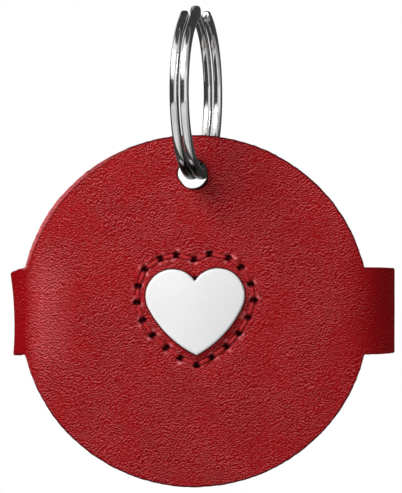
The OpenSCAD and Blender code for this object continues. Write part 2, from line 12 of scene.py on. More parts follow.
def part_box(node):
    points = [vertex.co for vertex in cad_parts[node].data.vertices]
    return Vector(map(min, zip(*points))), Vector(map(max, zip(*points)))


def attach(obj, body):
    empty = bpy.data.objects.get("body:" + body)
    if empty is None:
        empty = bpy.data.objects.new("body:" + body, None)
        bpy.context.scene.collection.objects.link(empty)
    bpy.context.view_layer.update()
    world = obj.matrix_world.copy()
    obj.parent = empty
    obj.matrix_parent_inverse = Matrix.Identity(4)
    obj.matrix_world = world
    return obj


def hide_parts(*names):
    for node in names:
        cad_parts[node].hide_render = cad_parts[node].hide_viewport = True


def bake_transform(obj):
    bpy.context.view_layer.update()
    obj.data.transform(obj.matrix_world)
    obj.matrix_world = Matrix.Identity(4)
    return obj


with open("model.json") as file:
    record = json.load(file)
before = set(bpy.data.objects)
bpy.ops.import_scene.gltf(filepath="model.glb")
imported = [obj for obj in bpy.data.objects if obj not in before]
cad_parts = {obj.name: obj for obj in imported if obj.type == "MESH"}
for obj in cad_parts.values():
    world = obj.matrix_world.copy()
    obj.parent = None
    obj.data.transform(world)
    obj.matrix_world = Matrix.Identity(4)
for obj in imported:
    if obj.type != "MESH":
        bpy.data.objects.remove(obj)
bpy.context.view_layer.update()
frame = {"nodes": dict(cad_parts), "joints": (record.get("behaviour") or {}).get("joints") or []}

# Sizes are in millimetres, in the frame's axes, and become metres when a mesh is made.
MM = 0.001
NODES = frame["nodes"]
JOINTS = {joint["name"]: joint for joint in frame["joints"]}


def box_mm(node_name):
    """Lowest and highest corner of a solid, in millimetres."""
    low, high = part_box(node_name)
    return low / MM, high / MM


# Hide: its places come from the solids
front_low, front_high = box_mm("front_leather")
flap_low, flap_high = box_mm("strap_flap")
stud_low, stud_high = box_mm("snap_stud")
LEATHER_T = flap_high.y - flap_low.y
FRONT_Y = front_low.y
MID_Y = FRONT_Y + LEATHER_T / 2
DISC_R = (front_high.z - front_low.z) / 2
DISC_Z = (front_high.z + front_low.z) / 2
TAB_HALF = (flap_high.z - flap_low.z) / 2
LEFT_R = (stud_low.y - FRONT_Y) / 2
RIGHT_R = (flap_high.y - FRONT_Y) / 2
LEFT_X = front_low.x + LEFT_R
RIGHT_X = front_high.x - RIGHT_R
LEFT_MID = LEFT_R - LEATHER_T / 2
RIGHT_MID = RIGHT_R - LEATHER_T / 2
SNAP_X = (stud_low.x + stud_high.x) / 2
HOLE_UP = JOINTS["tag_swing"]["pos_m"][2] / MM - DISC_Z
HOLE_LEFT = 0.3
RING_HOLE_R = 2.5
TAB_CORNER_R = 0.35
SHANK_HOLE_R = 1.25
# Where the front and the strap pieces of the hide meet: a quarter turn round the right bend
SEAM_S = RIGHT_X + RIGHT_MID * math.pi / 2

# Heart and its seam
LOBE_R = 4.57
LOBE_AT = np.array([3.86, 2.62])
SIDE_R = 18.0
TIP = np.array([0.0, -7.47])
HEART_TILT = math.radians(1.3)
HEART_SHIFT = np.array([0.18, 0.0])
HEART_GAP = 0.11
NOTCH_CUT = 0.55
SEAM_GAP = 1.6
SEAM_SHIFT = np.array([-0.1, -0.3])
SEAM_RISE = 1.5
SEAM_RISE_WIDE = 7.5
SEAM_SEED = 4675
STITCH_COUNT = 20
THREAD_R = 0.36
BACK_THREAD_R = 0.25
THREAD_BED = 0.14
THREAD_SUNK = 0.3
SEAM_DIP = 0.22
SEAM_DIP_WIDE = 1.7
LINING_R = 13.5
AWL_R = 0.2
LINING_T = 0.5


SAME = 1e-6


def smooth(value, low, high):
    """0 below low, 1 above high and smooth between."""
    t = np.clip((value - low) / (high - low), 0, 1)
    return t * t * (3 - 2 * t)


def direction(angle):
    return np.array([math.cos(angle), math.sin(angle)])


def arc(centre, radius, start, end, step):
    """Points on an arc, both ends included."""
    count = max(2, math.ceil(abs(end - start) * radius / step))
    angles = np.linspace(start, end, count + 1)
    return centre + radius * np.column_stack([np.cos(angles), np.sin(angles)])


def line(start, end, step):
    """Points on a straight line, both ends included."""
    start, end = np.array(start, float), np.array(end, float)
    count = max(1, math.ceil(np.linalg.norm(end - start) / step))
    return start + (end - start) * np.linspace(0, 1, count + 1)[:, None]


def joined(*runs):
    """Runs of points as one run, without the points that repeat."""
    points = np.vstack(runs)
    apart = np.linalg.norm(np.diff(points, axis=0), axis=1) > SAME
    return points[np.concatenate([[True], apart])]


def closed(*runs):
    """Runs of points as one closed loop, whose last point isn't its first again."""
    points = joined(*runs)
    repeats = np.linalg.norm(points[0] - points[-1]) < SAME
    return points[:-1] if repeats else points


def across(ahead):
    """Unit vectors to the left of a run's directions."""
    left = np.column_stack([-ahead[:, 1], ahead[:, 0]])
    return left / np.linalg.norm(left, axis=1)[:, None]


def round_angles(count):
    return np.linspace(0, 2 * math.pi, count, endpoint=False)


def mirrored(points):
    return points * [-1, 1]


def tilted(points):
    return np.outer(points[:, 0], direction(HEART_TILT)) + np.outer(
        points[:, 1], direction(HEART_TILT + math.pi / 2))


def side_arc():
    """Angle where a lobe runs into its lower side, and that side's centre."""
    to_tip = TIP - LOBE_AT
    reach = SIDE_R - LOBE_R
    length = np.linalg.norm(to_tip)
    turn = math.acos((SIDE_R ** 2 - reach ** 2 - length ** 2) / (2 * reach * length))
    angle = math.atan2(to_tip[1], to_tip[0]) + turn
    return angle, LOBE_AT - reach * direction(angle)


def half_heart(grow, step, round_tip):
    """Right half of the heart's outline, grown outwards, from the notch down to the tip."""
    side_angle, side_centre = side_arc()
    notch = math.acos(-LOBE_AT[0] / (LOBE_R + grow))
    side_radius = SIDE_R + (0 if round_tip else grow)
    tip_angle = -math.acos(-side_centre[0] / side_radius)
    runs = [
        arc(LOBE_AT, LOBE_R + grow, notch, side_angle, step),
        arc(side_centre, SIDE_R + grow, side_angle, tip_angle, step)]
    if round_tip:
        runs.append(arc(TIP, grow, tip_angle, -math.pi / 2, step))
    return joined(*runs)


def heart_outline(grow, step, round_tip=False):
    """The whole heart as a closed loop, clockwise from the notch."""
    right = half_heart(grow, step, round_tip)
    return tilted(closed(right, mirrored(right)[::-1])) + HEART_SHIFT


def blunted(loop, reach):
    """A closed loop with its first corner cut off."""
    return loop[np.linalg.norm(loop - loop[0], axis=1) > reach]


def resampled(loop, count):
    """Points at even distances along a closed loop, from its first point."""
    run = np.vstack([loop, loop[:1]])
    lengths = np.concatenate([[0], np.cumsum(np.linalg.norm(np.diff(run, axis=0), axis=1))])
    at = np.arange(count) * lengths[-1] / count
    return np.column_stack([np.interp(at, lengths, run[:, k]) for k in (0, 1)])


# Places on the bent hide
LEFT_OUT = -0.1
LEFT_SKEW = 0.245
LEFT_FLARE = 0.405
LEFT_SAG = 0.6
LEFT_PINCH = 0.04
RIGHT_OUT = 0.4
RIGHT_PINCH = 0.012
STRAIN_FROM = 0.7


def strain(turn):
    """How much a bend is pulled out of shape: 1 at its middle, and 0 where it starts and ends."""
    quarter = math.pi / 2
    return smooth(turn, STRAIN_FROM, quarter) * smooth(math.pi - turn, STRAIN_FROM, quarter)


def bend(way, middle):
    """Angle turned round a bend, the way left after it and the strain there, at a way past its start."""
    way = np.maximum(way, 0)
    turn = np.minimum(way / middle, math.pi)
    return turn, way - turn * middle, strain(turn)


def bent(points, lift):
    """Places points of the flat hide, s along the strap and z up, at a lift out of its grain side."""
    s, z = points[:, 0], points[:, 1]
    lift = np.broadcast_to(lift, s.shape)
    left_turn, left_rest, left_strain = bend(LEFT_X - s, LEFT_MID)
    right_turn, right_rest, right_strain = bend(s - RIGHT_X, RIGHT_MID)
    x = np.clip(s, LEFT_X, RIGHT_X) - LEFT_MID * np.sin(left_turn) + RIGHT_MID * np.sin(right_turn)
    x = x + left_rest - right_rest
    up = z / TAB_HALF
    x = x - left_strain * (LEFT_OUT + LEFT_SKEW * up + LEFT_FLARE * up ** 2) + right_strain * RIGHT_OUT
    z = z * (1 - LEFT_PINCH * left_strain - RIGHT_PINCH * right_strain) - LEFT_SAG * left_strain
    y = MID_Y + LEFT_MID * (1 - np.cos(left_turn)) + RIGHT_MID * (1 - np.cos(right_turn))
    out_x = np.sin(right_turn) - np.sin(left_turn)
    out_y = -np.cos(left_turn + right_turn)
    return np.column_stack([x + out_x * lift, y + out_y * lift, z + DISC_Z])


def flat_s(x):
    """Where the front's outer face, seen straight from the front at x, lies along the flat hide."""
    left = np.arcsin(np.clip((LEFT_X - x) / LEFT_R, 0, 1)) * LEFT_MID
    right = np.arcsin(np.clip((x - RIGHT_X) / RIGHT_R, 0, 1)) * RIGHT_MID
    return np.clip(x, LEFT_X, RIGHT_X) - left + right


# Flat sheets with rounded cut edges
EDGE_STEP = 0.24
GRID_STEP = 0.55
FINE_STEP = 0.2
FINE_REACH = 2.6
DENSE_STEP = 0.04
# The side whose cut edges are painted pale: painted light where the lamps catch them
LIT_SIDE = np.array([-0.93, 0.37])
LIT_FROM = (0.58, 0.99)
LIT_WIDE = 0.38
ROW_KEPT = 0.97
GRID_GAP = 0.35


class Cut:
    """A cut edge of a sheet: its loop, how its grain edge is rounded and what colours it: its dye, painted
    light on the lit side, painted shade in and round holes and the ring's painted shadow.
    """

    def __init__(self, loop, width, drop, rings, rim=0.0, dark=0.0, whole=True, ring_shadow=0.0, lean=None):
        self.loop = loop
        self.width = width
        self.drop = drop
        self.rings = rings
        self.rim = rim
        self.dark = dark
        self.ring_shadow = ring_shadow
        self.lean = lean
        run = np.vstack([loop, loop[:1]]) if whole else loop
        self.dense = joined(*[line(a, b, DENSE_STEP) for a, b in zip(run[:-1], run[1:])])
        self.tree = tree_of(self.dense)

    def away(self, points):
        """Distance of each point from the edge."""
        return distances(self.tree, points)

    def painted_light_share(self, points):
        """How much the nearest stretch of the edge faces the lit side, where it is painted pale as painted
        light.
        """
        out = -across(np.gradient(self.dense, axis=0)) * np.sign(turning(self.dense))
        wear_and_painted_light = smooth(out @ LIT_SIDE, *LIT_FROM)
        return np.array([wear_and_painted_light[self.tree.find((p[0], p[1], 0))[1]] for p in points])

    def painted_dark(self, points, away):
        """Painted shadow of the ring, which hangs at the right of the hole, on the hide there."""
        out = points - self.loop.mean(0)
        right, up = (out / np.linalg.norm(out, axis=1)[:, None]).T
        beside = smooth(right, *RING_SHADOW_RIGHT) * smooth(up, *RING_SHADOW_ABOVE)
        return self.ring_shadow * np.exp(-(away / RING_SHADOW_REACH) ** 2) * beside

    def offset(self, distance, domain):
        """Points at a distance from the edge, on the sheet's side."""
        left = across(np.roll(self.loop, -1, axis=0) - np.roll(self.loop, 1, axis=0))
        both = np.vstack([self.loop + distance * left, self.loop - distance * left])
        both = both[inside(both, domain)]
        return both[self.away(both) > ROW_KEPT * distance]


def turning(loop):
    """Twice the area inside a loop: above 0 where it runs anticlockwise."""
    after = np.roll(loop, -1, axis=0)
    return float(np.sum(loop[:, 0] * after[:, 1] - loop[:, 1] * after[:, 0]))


def tree_of(points):
    tree = kdtree.KDTree(len(points))
    for index, point in enumerate(points):
        tree.insert((point[0], point[1], 0), index)
    tree.balance()
    return tree


def distances(tree, points):
    """Distance of each point from the nearest place in a tree."""
    return np.array([tree.find((p[0], p[1], 0))[2] for p in points])


def inside(points, loops):
    """Which points lie in the sheet: within its outline and outside its holes."""
    found = np.zeros(len(points), bool)
    x, z = points[:, 0], points[:, 1]
    for loop in loops:
        for a, b in zip(loop, np.roll(loop, -1, axis=0)):
            if a[1] == b[1]:
                continue
            spans = (a[1] > z) != (b[1] > z)
            found ^= spans & (x < a[0] + (z - a[1]) * (b[0] - a[0]) / (b[1] - a[1]))
    return found


def hexagonal(loop, step):
    """Evenly spread points over a loop's box."""
    low, high = loop.min(0), loop.max(0)
    rows = np.arange(low[1], high[1], step * math.sqrt(3) / 2)
    columns = np.arange(low[0], high[0], step)
    return np.array([
        (x + (step / 2 if k % 2 else 0), z) for k, z in enumerate(rows) for x in columns])


def sheet_points(outline, cuts, fine_tree):
    """Points inside a sheet: rows along its cuts, a fine grid near a seam and a coarser one elsewhere."""
    domain = [outline] + [cut.loop for cut in cuts[1:]]
    rows = [cut.offset(d, domain) for cut in cuts for d in cut.rings]
    kept = [row for row in rows if len(row)]
    grids = [(GRID_STEP, None)] if fine_tree is None else [(GRID_STEP, False), (FINE_STEP, True)]
    for step, near in grids:
        spread = hexagonal(outline, step)
        if near is not None:
            spread = spread[(distances(fine_tree, spread) < FINE_REACH) == near]
        spread = spread[inside(spread, domain)]
        for cut in cuts:
            spread = spread[cut.away(spread) > max(cut.rings, default=0) + GRID_GAP * step]
        kept.append(spread)
    return np.vstack(kept), domain


def triangulated(loops, points):
    """Vertices and triangles of a flat sheet, with its loops first and in their order."""
    edges = []
    start = 0
    for loop in loops:
        count = len(loop)
        edges += [(start + k, start + (k + 1) % count) for k in range(count)]
        start += count
    flat = np.vstack(loops + [points])
    made = geometry.delaunay_2d_cdt([Vector(p) for p in flat], edges, [], 0, SAME / 10)
    corners = np.array([tuple(v) for v in made[0]])
    triangles = np.array(made[2])
    triangles = triangles[inside(corners[triangles].mean(1), loops)]
    return corners, triangles


def profile(distance, width, drop):
    """How far a rounded edge falls away, at a distance from its cut."""
    t = np.clip(1 - distance / width, 0, 1)
    return drop * (1 - np.sqrt(1 - t * t))


BACK_ROUND = 0.25
RIM_FULL = 0.45
# Reach and sides of the ring's painted shadow beside its hole
RING_SHADOW_REACH = 1.0
RING_SHADOW_RIGHT = (-0.9, 0.7)
RING_SHADOW_ABOVE = (-0.75, -0.2)
LEAN_REACH = 2.0
LEAN_BELOW = (0.5, 1.4)
LEAN_BACK = 0.2
LIT_EDGE_FULL = 0.72
DARK_FULL = 0.15
# A dark line of painted shade along the inner border of the painted pale edge
CREASE_AT = 1.06
CREASE_WIDE = 0.12
CREASE_SHADE = 0.75


def cut_marks(flat, cuts):
    """What the cuts do at each place of a sheet.

    Gives how far its two sides fall away, how far its walls lean, and its colours at the edges: dye, painted
    light on the lit side, and painted shade and shadow."""
    fall, back_fall, rim, painted_lit_edge, dark = (np.zeros(len(flat)) for _ in range(5))
    lean = np.zeros_like(flat)
    for cut in cuts:
        away = cut.away(flat)
        wear_and_painted_light = cut.rim * cut.painted_light_share(flat) if cut.rim else 0
        width = cut.width + LIT_WIDE * wear_and_painted_light
        near = 1 - smooth(away, DARK_FULL * width, width)
        fall = np.maximum(fall, profile(away, width, cut.drop))
        back_fall = np.maximum(back_fall, profile(away, BACK_ROUND, BACK_ROUND / 2))
        rim = np.maximum(rim, cut.rim * (1 - smooth(away, RIM_FULL * width, width)))
        # Painted shade: a dark line inside the painted pale edge, carried with the dye
        crease_shade = np.exp(-((away - CREASE_AT * width) / CREASE_WIDE) ** 2)
        rim = np.maximum(rim, CREASE_SHADE * wear_and_painted_light * crease_shade)
        # Painted light: the cut edge is painted pale on its lit side
        painted_lit_edge = np.maximum(painted_lit_edge, wear_and_painted_light * (1 - smooth(away, LIT_EDGE_FULL * width, width)))
        # Painted shade in and round the holes
        dark = np.maximum(dark, cut.dark * near)
        # Painted shadow of the ring beside its hole
        if cut.ring_shadow:
            dark = np.maximum(dark, cut.painted_dark(flat, away))
        if cut.lean is not None:
            below = smooth(cut.loop.mean(0)[1] - flat[:, 1], *LEAN_BELOW)
            lean += np.outer(below * (1 - smooth(away, 0, LEAN_REACH)), cut.lean)
    return fall, back_fall, lean, {"rim": rim, "painted_lit_edge": painted_lit_edge, "dark": dark}


def hide_sheet(name, outline, cuts, front_lift, back_lift, place, relief=None, fine_tree=None):
    """A closed sheet of hide with a grain side and a flesh side, in a flat plan that place() bends."""
    points, domain = sheet_points(outline, cuts, fine_tree)
    flat, triangles = triangulated(domain, points)
    fall, back_fall, lean, colours = cut_marks(flat, cuts)
    height, colours["lip_highlight"] = relief(flat) if relief else (0, np.zeros(len(flat)))
    grain = place(flat - (1 - LEAN_BACK) * lean, front_lift + height - fall)
    flesh = place(flat + LEAN_BACK * lean, back_lift + back_fall)
    ordered = wound(triangles, grain, place(flat, front_lift + 1))
    faces = sheet_faces(ordered, len(flat))
    mesh = mesh_of(name, np.vstack([grain, flesh]), faces)
    kinds = np.zeros(len(faces), np.int32)
    kinds[len(ordered):2 * len(ordered)] = 1
    mesh.polygons.foreach_set("material_index", kinds)
    for key, values in colours.items():
        store(mesh, key, np.concatenate([values, values]))
    store(mesh, "flat", np.vstack([np.column_stack([flat, np.zeros(len(flat))])] * 2))
    return piece_of(name, mesh)


def sheet_faces(triangles, count):
    """Faces of a closed sheet: its grain side, its other side, count corners on, and its walls."""
    grain = [tuple(t) for t in triangles]
    other = [tuple(t[::-1] + count) for t in triangles]
    return grain + other + [(b, a, a + count, b + count) for a, b in rim_edges(triangles)]


def wound(triangles, surface, above):
    """Triangles turned so that they face away from the sheet."""
    a, b, c = (surface[triangles[:, k]] for k in range(3))
    out = (above - surface)[triangles[:, 0]]
    wrong = np.einsum("ij,ij->i", np.cross(b - a, c - a), out) < 0
    turned = triangles.copy()
    turned[wrong] = triangles[wrong][:, ::-1]
    return turned


def rim_edges(triangles):
    """Edges that belong to one triangle only, in that triangle's direction."""
    edges = np.vstack([triangles[:, [0, 1]], triangles[:, [1, 2]], triangles[:, [2, 0]]])
    keys = np.sort(edges, axis=1)
    _, index, count = np.unique(keys, axis=0, return_index=True, return_counts=True)
    return edges[index[count == 1]]


SHARP_ANGLE = math.radians(55)


def mesh_of(name, corners, faces):
    """A smooth mesh from corners in millimetres, with its hard edges kept."""
    mesh = bpy.data.meshes.new(name)
    mesh.from_pydata((np.asarray(corners) * MM).tolist(), [], [list(map(int, f)) for f in faces])
    mesh.validate()
    mesh.shade_smooth()
    mesh.set_sharp_from_angle(angle=SHARP_ANGLE)
    return mesh


def store(mesh, name, values):
    """Keeps one value or one vector for each corner of a mesh."""
    kind, key = ("FLOAT", "value") if values.ndim == 1 else ("FLOAT_VECTOR", "vector")
    layer = mesh.attributes.new(name, kind, "POINT")
    layer.data.foreach_set(key, values.astype(np.float32).ravel())


def piece_of(name, data):
    """An object of a mesh, a lamp or a camera, in the scene."""
    made = bpy.data.objects.new(name, data)
    bpy.context.scene.collection.objects.link(made)
    return made


def merged(shells):
    """Corners and faces of several shells as those of one mesh."""
    corners, faces = [], []
    for points, sides in shells:
        first = sum(map(len, corners))
        corners.append(points)
        faces += [tuple(first + int(k) for k in face) for face in sides]
    return np.vstack(corners), faces


# Outlines on the flat hide
def tab_corner(step):
    """Inner corner between the right tab's upper edge and the disc, from the tab to the disc."""
    up = TAB_HALF + TAB_CORNER_R
    centre = np.array([math.sqrt((DISC_R + TAB_CORNER_R) ** 2 - up ** 2), up])
    end = math.pi + math.atan2(centre[1], centre[0])
    return arc(centre, TAB_CORNER_R, math.pi * 1.5, end, step)


def disc_quarter(step):
    """Upper right quarter of the front's outline, from the tab to the top."""
    corner = tab_corner(step)
    start = math.atan2(corner[-1][1], corner[-1][0])
    return joined(corner, arc(np.zeros(2), DISC_R, start, math.pi / 2, step))


def tongue_end(root_s, reach, way, step):
    """Round end of a tongue, from its upper edge to its lower one.

    way is -1 at the left and 1 at the right."""
    centre = np.array([root_s + way * reach, 0.0])
    return arc(centre, TAB_HALF, math.pi / 2, math.pi / 2 - way * math.pi, step)


def seam_line():
    """Corners where the two pieces of the hide meet, from the bottom up."""
    inner = TAB_HALF - max(EDGE_RINGS)
    steps = line((0, -inner), (0, inner), EDGE_STEP)[:, 1]
    ends = TAB_HALF - np.array((0.0,) + EDGE_RINGS[:-1])
    heights = np.concatenate([-ends, steps, ends[::-1]])
    return np.column_stack([np.full_like(heights, SEAM_S), heights])


EDGE_WIDTH = 0.34
EDGE_DROP = 0.3
EDGE_RINGS = (0.02, 0.06, 0.12, 0.2, 0.3, 0.45, 0.62, 0.78, 0.92, 1.08)
HOLE_RINGS = (0.05, 0.13, 0.24, 0.38, 0.55)
STITCH_RINGS = (0.05, 0.13, 0.23, 0.36)
EDGE_WAVE = 0.07
EDGE_WAVE_KIND = (0.8, 2.5)
EDGE_WAVE_ENDS = (1, 4)


def uneven(run):
    """A cut run with the small waves of a knife cut, which die out where the hide's two pieces meet."""
    waves = np.array([waviness(s, z, *EDGE_WAVE_KIND) for s, z in run])
    size = EDGE_WAVE * waves * smooth(SEAM_S - run[:, 0], *EDGE_WAVE_ENDS)
    return run + across(np.gradient(run, axis=0)) * size[:, None]


def flat_outline(points):
    """Outline seen from the front, laid on the flat hide."""
    return np.column_stack([flat_s(points[:, 0]), points[:, 1]])


def front_outline():
    """Front of the hide with its left tongue, as a closed loop, and the cut part of that loop."""
    quarter = disc_quarter(EDGE_STEP)
    upper = flat_outline(joined(quarter, mirrored(quarter)[::-1]))
    turned_s = LEFT_X - math.pi * LEFT_MID
    end = tongue_end(turned_s, SNAP_X - LEFT_X, -1, EDGE_STEP)
    top_right = np.array([SEAM_S, TAB_HALF])
    half = joined(
        line(top_right, upper[0], EDGE_STEP), upper, line(upper[-1], end[0], EDGE_STEP))
    cut = uneven(joined(half, end, (half * [1, -1])[::-1]))
    return closed(cut, seam_line()), cut


def strap_outline():
    """Right bend and flap, as a closed loop, and the cut part of that loop."""
    turned_s = RIGHT_X + math.pi * RIGHT_MID
    end = tongue_end(turned_s, RIGHT_X - SNAP_X, 1, EDGE_STEP)
    top = line((SEAM_S, TAB_HALF), end[0], EDGE_STEP)
    cut = joined(top, end, (top * [1, -1])[::-1])
    return closed(cut, seam_line()), cut


def round_hole(at, radius, step):
    return closed(arc(np.array(at, float), radius, 0, 2 * math.pi, step))


# Seam round the heart
HOLE_LONG = 0.57
HOLE_WIDE = 0.41
HOLE_SLANT = math.radians(15)
HOLE_TURN = math.radians(28)
HOLE_JITTER = 0.2
HOLE_POINTS = 18
SEAM_STEP = 0.05
SEAM_RISE_FROM = (-3, 5)


def stitch_places():
    """Middle and irregular slant of each stitch hole."""
    dice = random.Random(SEAM_SEED)
    path = heart_outline(SEAM_GAP, SEAM_STEP, round_tip=True) + SEAM_SHIFT
    raised = np.exp(-(path[:, 0] / SEAM_RISE_WIDE) ** 2) * smooth(path[:, 1], *SEAM_RISE_FROM)
    path = path + np.outer(SEAM_RISE * raised, [0, 1])
    places = []
    for at in resampled(path, STITCH_COUNT):
        shift = np.array([dice.uniform(-1, 1), dice.uniform(-1, 1)]) * HOLE_JITTER
        places.append((at + shift, HOLE_SLANT + dice.uniform(-1, 1) * HOLE_TURN))
    return places


def stitch_hole(at, angle):
    """A slanted oval hole."""
    around = round_angles(HOLE_POINTS)
    along = HOLE_LONG * np.outer(np.cos(around), direction(angle))
    return at + along + HOLE_WIDE * np.outer(np.sin(around), direction(angle + math.pi / 2))


STITCHES = stitch_places()
HOLE_CENTRES = np.array([at for at, _ in STITCHES])
SEAM_RUN = joined(*[
    line(a, b, 2 * SEAM_STEP) for a, b in zip(HOLE_CENTRES, np.roll(HOLE_CENTRES, -1, axis=0))])
SEAM_TREE = tree_of(SEAM_RUN)
HOLE_TREE = tree_of(HOLE_CENTRES)
LIP_SEED = 11
LIPS_PER_HOLE = 5
LIP_AWAY = (0.62, 1.1)
LIP_R = 0.27
LIP_HIGH = 0.06
LIP_STRENGTH = (0.1, 1.0)


def lip_places():
    """Where the lips of the hide stand up round the stitch holes, and how strong each one's painted
    highlight is.
    """
    dice = random.Random(LIP_SEED)
    places = []
    strengths = []
    for at in np.repeat(HOLE_CENTRES, LIPS_PER_HOLE, axis=0):
        places.append(at + dice.uniform(*LIP_AWAY) * direction(dice.uniform(0, 2 * math.pi)))
        strengths.append(dice.uniform(*LIP_STRENGTH))
    return tree_of(np.array(places)), strengths


LIP_TREE, LIP_HIGHLIGHT = lip_places()


def waviness(s, z, scale, seed):
    return noise.noise(Vector((s / scale, z / scale, seed)))


def bell(distance, width):
    """1 at no distance, and less and less away from it."""
    return math.exp(-(distance / width) ** 2)


# Each wave has a length and a seed
WAVE_LOW, WAVE_LOW_KIND = 0.05, (11, 1.5)
WAVE_FINE, WAVE_FINE_KIND = 0.018, (3.2, 7.5)
BED_WIDE = 0.5
HOLE_DIP, HOLE_DIP_WIDE = 0.28, 0.85
PUCKER, PUCKER_AWAY, PUCKER_WIDE = 0.2, 0.8, 0.38
PUCKER_MEAN, PUCKER_WAVE, PUCKER_KIND = 0.5, 1.3, (1.1, 3.5)
RUMPLE, RUMPLE_WIDE, RUMPLE_KIND = 0.15, 1.6, (0.8, 5.5)


def grain_relief(flat):
    """Low waves of the hide, the bed that the thread sinks into and the puckers round it.

    Gives a height for each place, and how strong the painted highlight on its lips is."""
    heights = np.empty(len(flat))
    lip_highlight = np.zeros(len(flat))
    for k, (s, z) in enumerate(flat):
        height = WAVE_LOW * waviness(s, z, *WAVE_LOW_KIND) + WAVE_FINE * waviness(s, z, *WAVE_FINE_KIND)
        off = SEAM_TREE.find((s, z, 0))[2]
        if off < FINE_REACH + 1:
            hole = HOLE_TREE.find((s, z, 0))[2]
            pucker = max(0.0, PUCKER_MEAN + PUCKER_WAVE * waviness(s, z, *PUCKER_KIND))
            height -= THREAD_BED * bell(off, BED_WIDE)
            height -= SEAM_DIP * bell(off, SEAM_DIP_WIDE)
            height -= HOLE_DIP * bell(hole, HOLE_DIP_WIDE)
            height += PUCKER * pucker * bell(off - PUCKER_AWAY, PUCKER_WIDE)
            height += RUMPLE * waviness(s, z, *RUMPLE_KIND) * bell(off, RUMPLE_WIDE)
            _, nearest, gap = LIP_TREE.find((s, z, 0))
            # Painted highlight on the lips round the holes
            lip_highlight[k] = LIP_HIGHLIGHT[nearest] * bell(gap, LIP_R)
            height += LIP_HIGH * lip_highlight[k]
        heights[k] = height
    return heights, lip_highlight


# Thread
def tube(path, radius, sides, lay_turns, lay_depth):
    """Corners and faces of a closed tube along a path, with the lay of a two-ply thread on it."""
    path = np.asarray(path)
    ahead = np.gradient(path, axis=0)
    ahead /= np.linalg.norm(ahead, axis=1)[:, None]
    side = np.cross(ahead, np.cross(path[-1] - path[0], [0, 1, 0]))
    side /= np.linalg.norm(side, axis=1)[:, None]
    other = np.cross(ahead, side)
    around = round_angles(sides)
    corners = []
    for k, (at, u, v) in enumerate(zip(path, side, other)):
        lay = 2 * math.pi * lay_turns * k / (len(path) - 1)
        size = radius * (1 - lay_depth + lay_depth * np.abs(np.cos(around - lay)))
        corners.append(at + np.outer(size * np.cos(around), u) + np.outer(size * np.sin(around), v))
    return np.vstack(corners), tube_faces(len(path), sides)


def tube_faces(rings, sides):
    """Side faces and two flat ends of a tube."""
    faces = []
    for ring in range(rings - 1):
        for k in range(sides):
            a, b = ring * sides + k, ring * sides + (k + 1) % sides
            faces.append((a, b, b + sides, a + sides))
    faces.append(tuple(range(sides))[::-1])
    faces.append(tuple((rings - 1) * sides + k for k in range(sides)))
    return faces


THREAD_SIDES = 12
THREAD_STEPS = 33
THREAD_TURNS = 2
THREAD_LAY = 0.22
THREAD_ROOT = 0.1
THREAD_CLIMB = 0.3
THREAD_OUT = 0.85
THREAD_SHOWN = (0.55, 0.9)


def stitch_path(start, end, top, deep):
    """One stitch from hole to hole: it comes up, runs along the surface and goes down again.

    Gives the flat places along it and its lift at each."""
    chord = end - start
    length = np.linalg.norm(chord)
    shares = np.linspace(0, 1, THREAD_STEPS)
    climb = np.minimum(shares, 1 - shares) / (THREAD_CLIMB / 2)
    near = THREAD_ROOT + (THREAD_OUT - THREAD_ROOT) * climb
    rest = THREAD_OUT + (length / 2 - THREAD_OUT) * (climb - 1) / (1 / THREAD_CLIMB - 1)
    from_end = np.where(climb < 1, near, rest)
    run = np.where(shares < 0.5, from_end, length - from_end)
    lift = deep + (top - deep) * np.sin(np.minimum(climb, 1) * math.pi / 2)
    return start + np.outer(run / length, chord), lift


def thread_ring(name, radius, top, deep):
    """All the stitches on one side of the seam, with painted shade where they are down in their holes."""
    stitches, dark = [], []
    for start, end in zip(HOLE_CENTRES, np.roll(HOLE_CENTRES, -1, axis=0)):
        flat, lift = stitch_path(start, end, top, deep)
        from_hole = np.minimum(*(np.linalg.norm(flat - hole, axis=1) for hole in (start, end)))
        stitches.append(tube(bent(flat, lift), radius, THREAD_SIDES, THREAD_TURNS, THREAD_LAY))
        dark.append(np.repeat(1 - smooth(from_hole, *THREAD_SHOWN), THREAD_SIDES))
    mesh = mesh_of(name, *merged(stitches))
    store(mesh, "dark", np.concatenate(dark))
    return piece_of(name, mesh)


# Heart
HEART_RINGS = (0.02, 0.06, 0.12, 0.2, 0.3, 0.42, 0.56, 0.75, 1.0)
HEART_GRID = 0.45
HEART_RIM = 0.4
HEART_RIM_DROP = 0.34
HEART_CROWN = 0.55
FLANGE_OUT = 0.8
FOOT_R = 1.6
FOOT_CLEAR = 0.02
PLUNGER_GAP = 0.1
HEART_STEP = 0.2
FLANGE_STEP = 0.4
FOOT_STEP = 0.25
CROWN_AT = (0, -1)


def slab(loop, front, back):
    """Corners and faces of a flat plate with a loop as its outline, from one depth to another."""
    count = len(loop)
    plate = [np.column_stack([loop[:, 0], np.full(count, y), loop[:, 1] + DISC_Z]) for y in (front, back)]
    sides = [(k, (k + 1) % count, count + (k + 1) % count, count + k) for k in range(count)]
    ends = [tuple(range(count))[::-1], tuple(range(count, 2 * count))]
    return np.vstack(plate), sides + ends


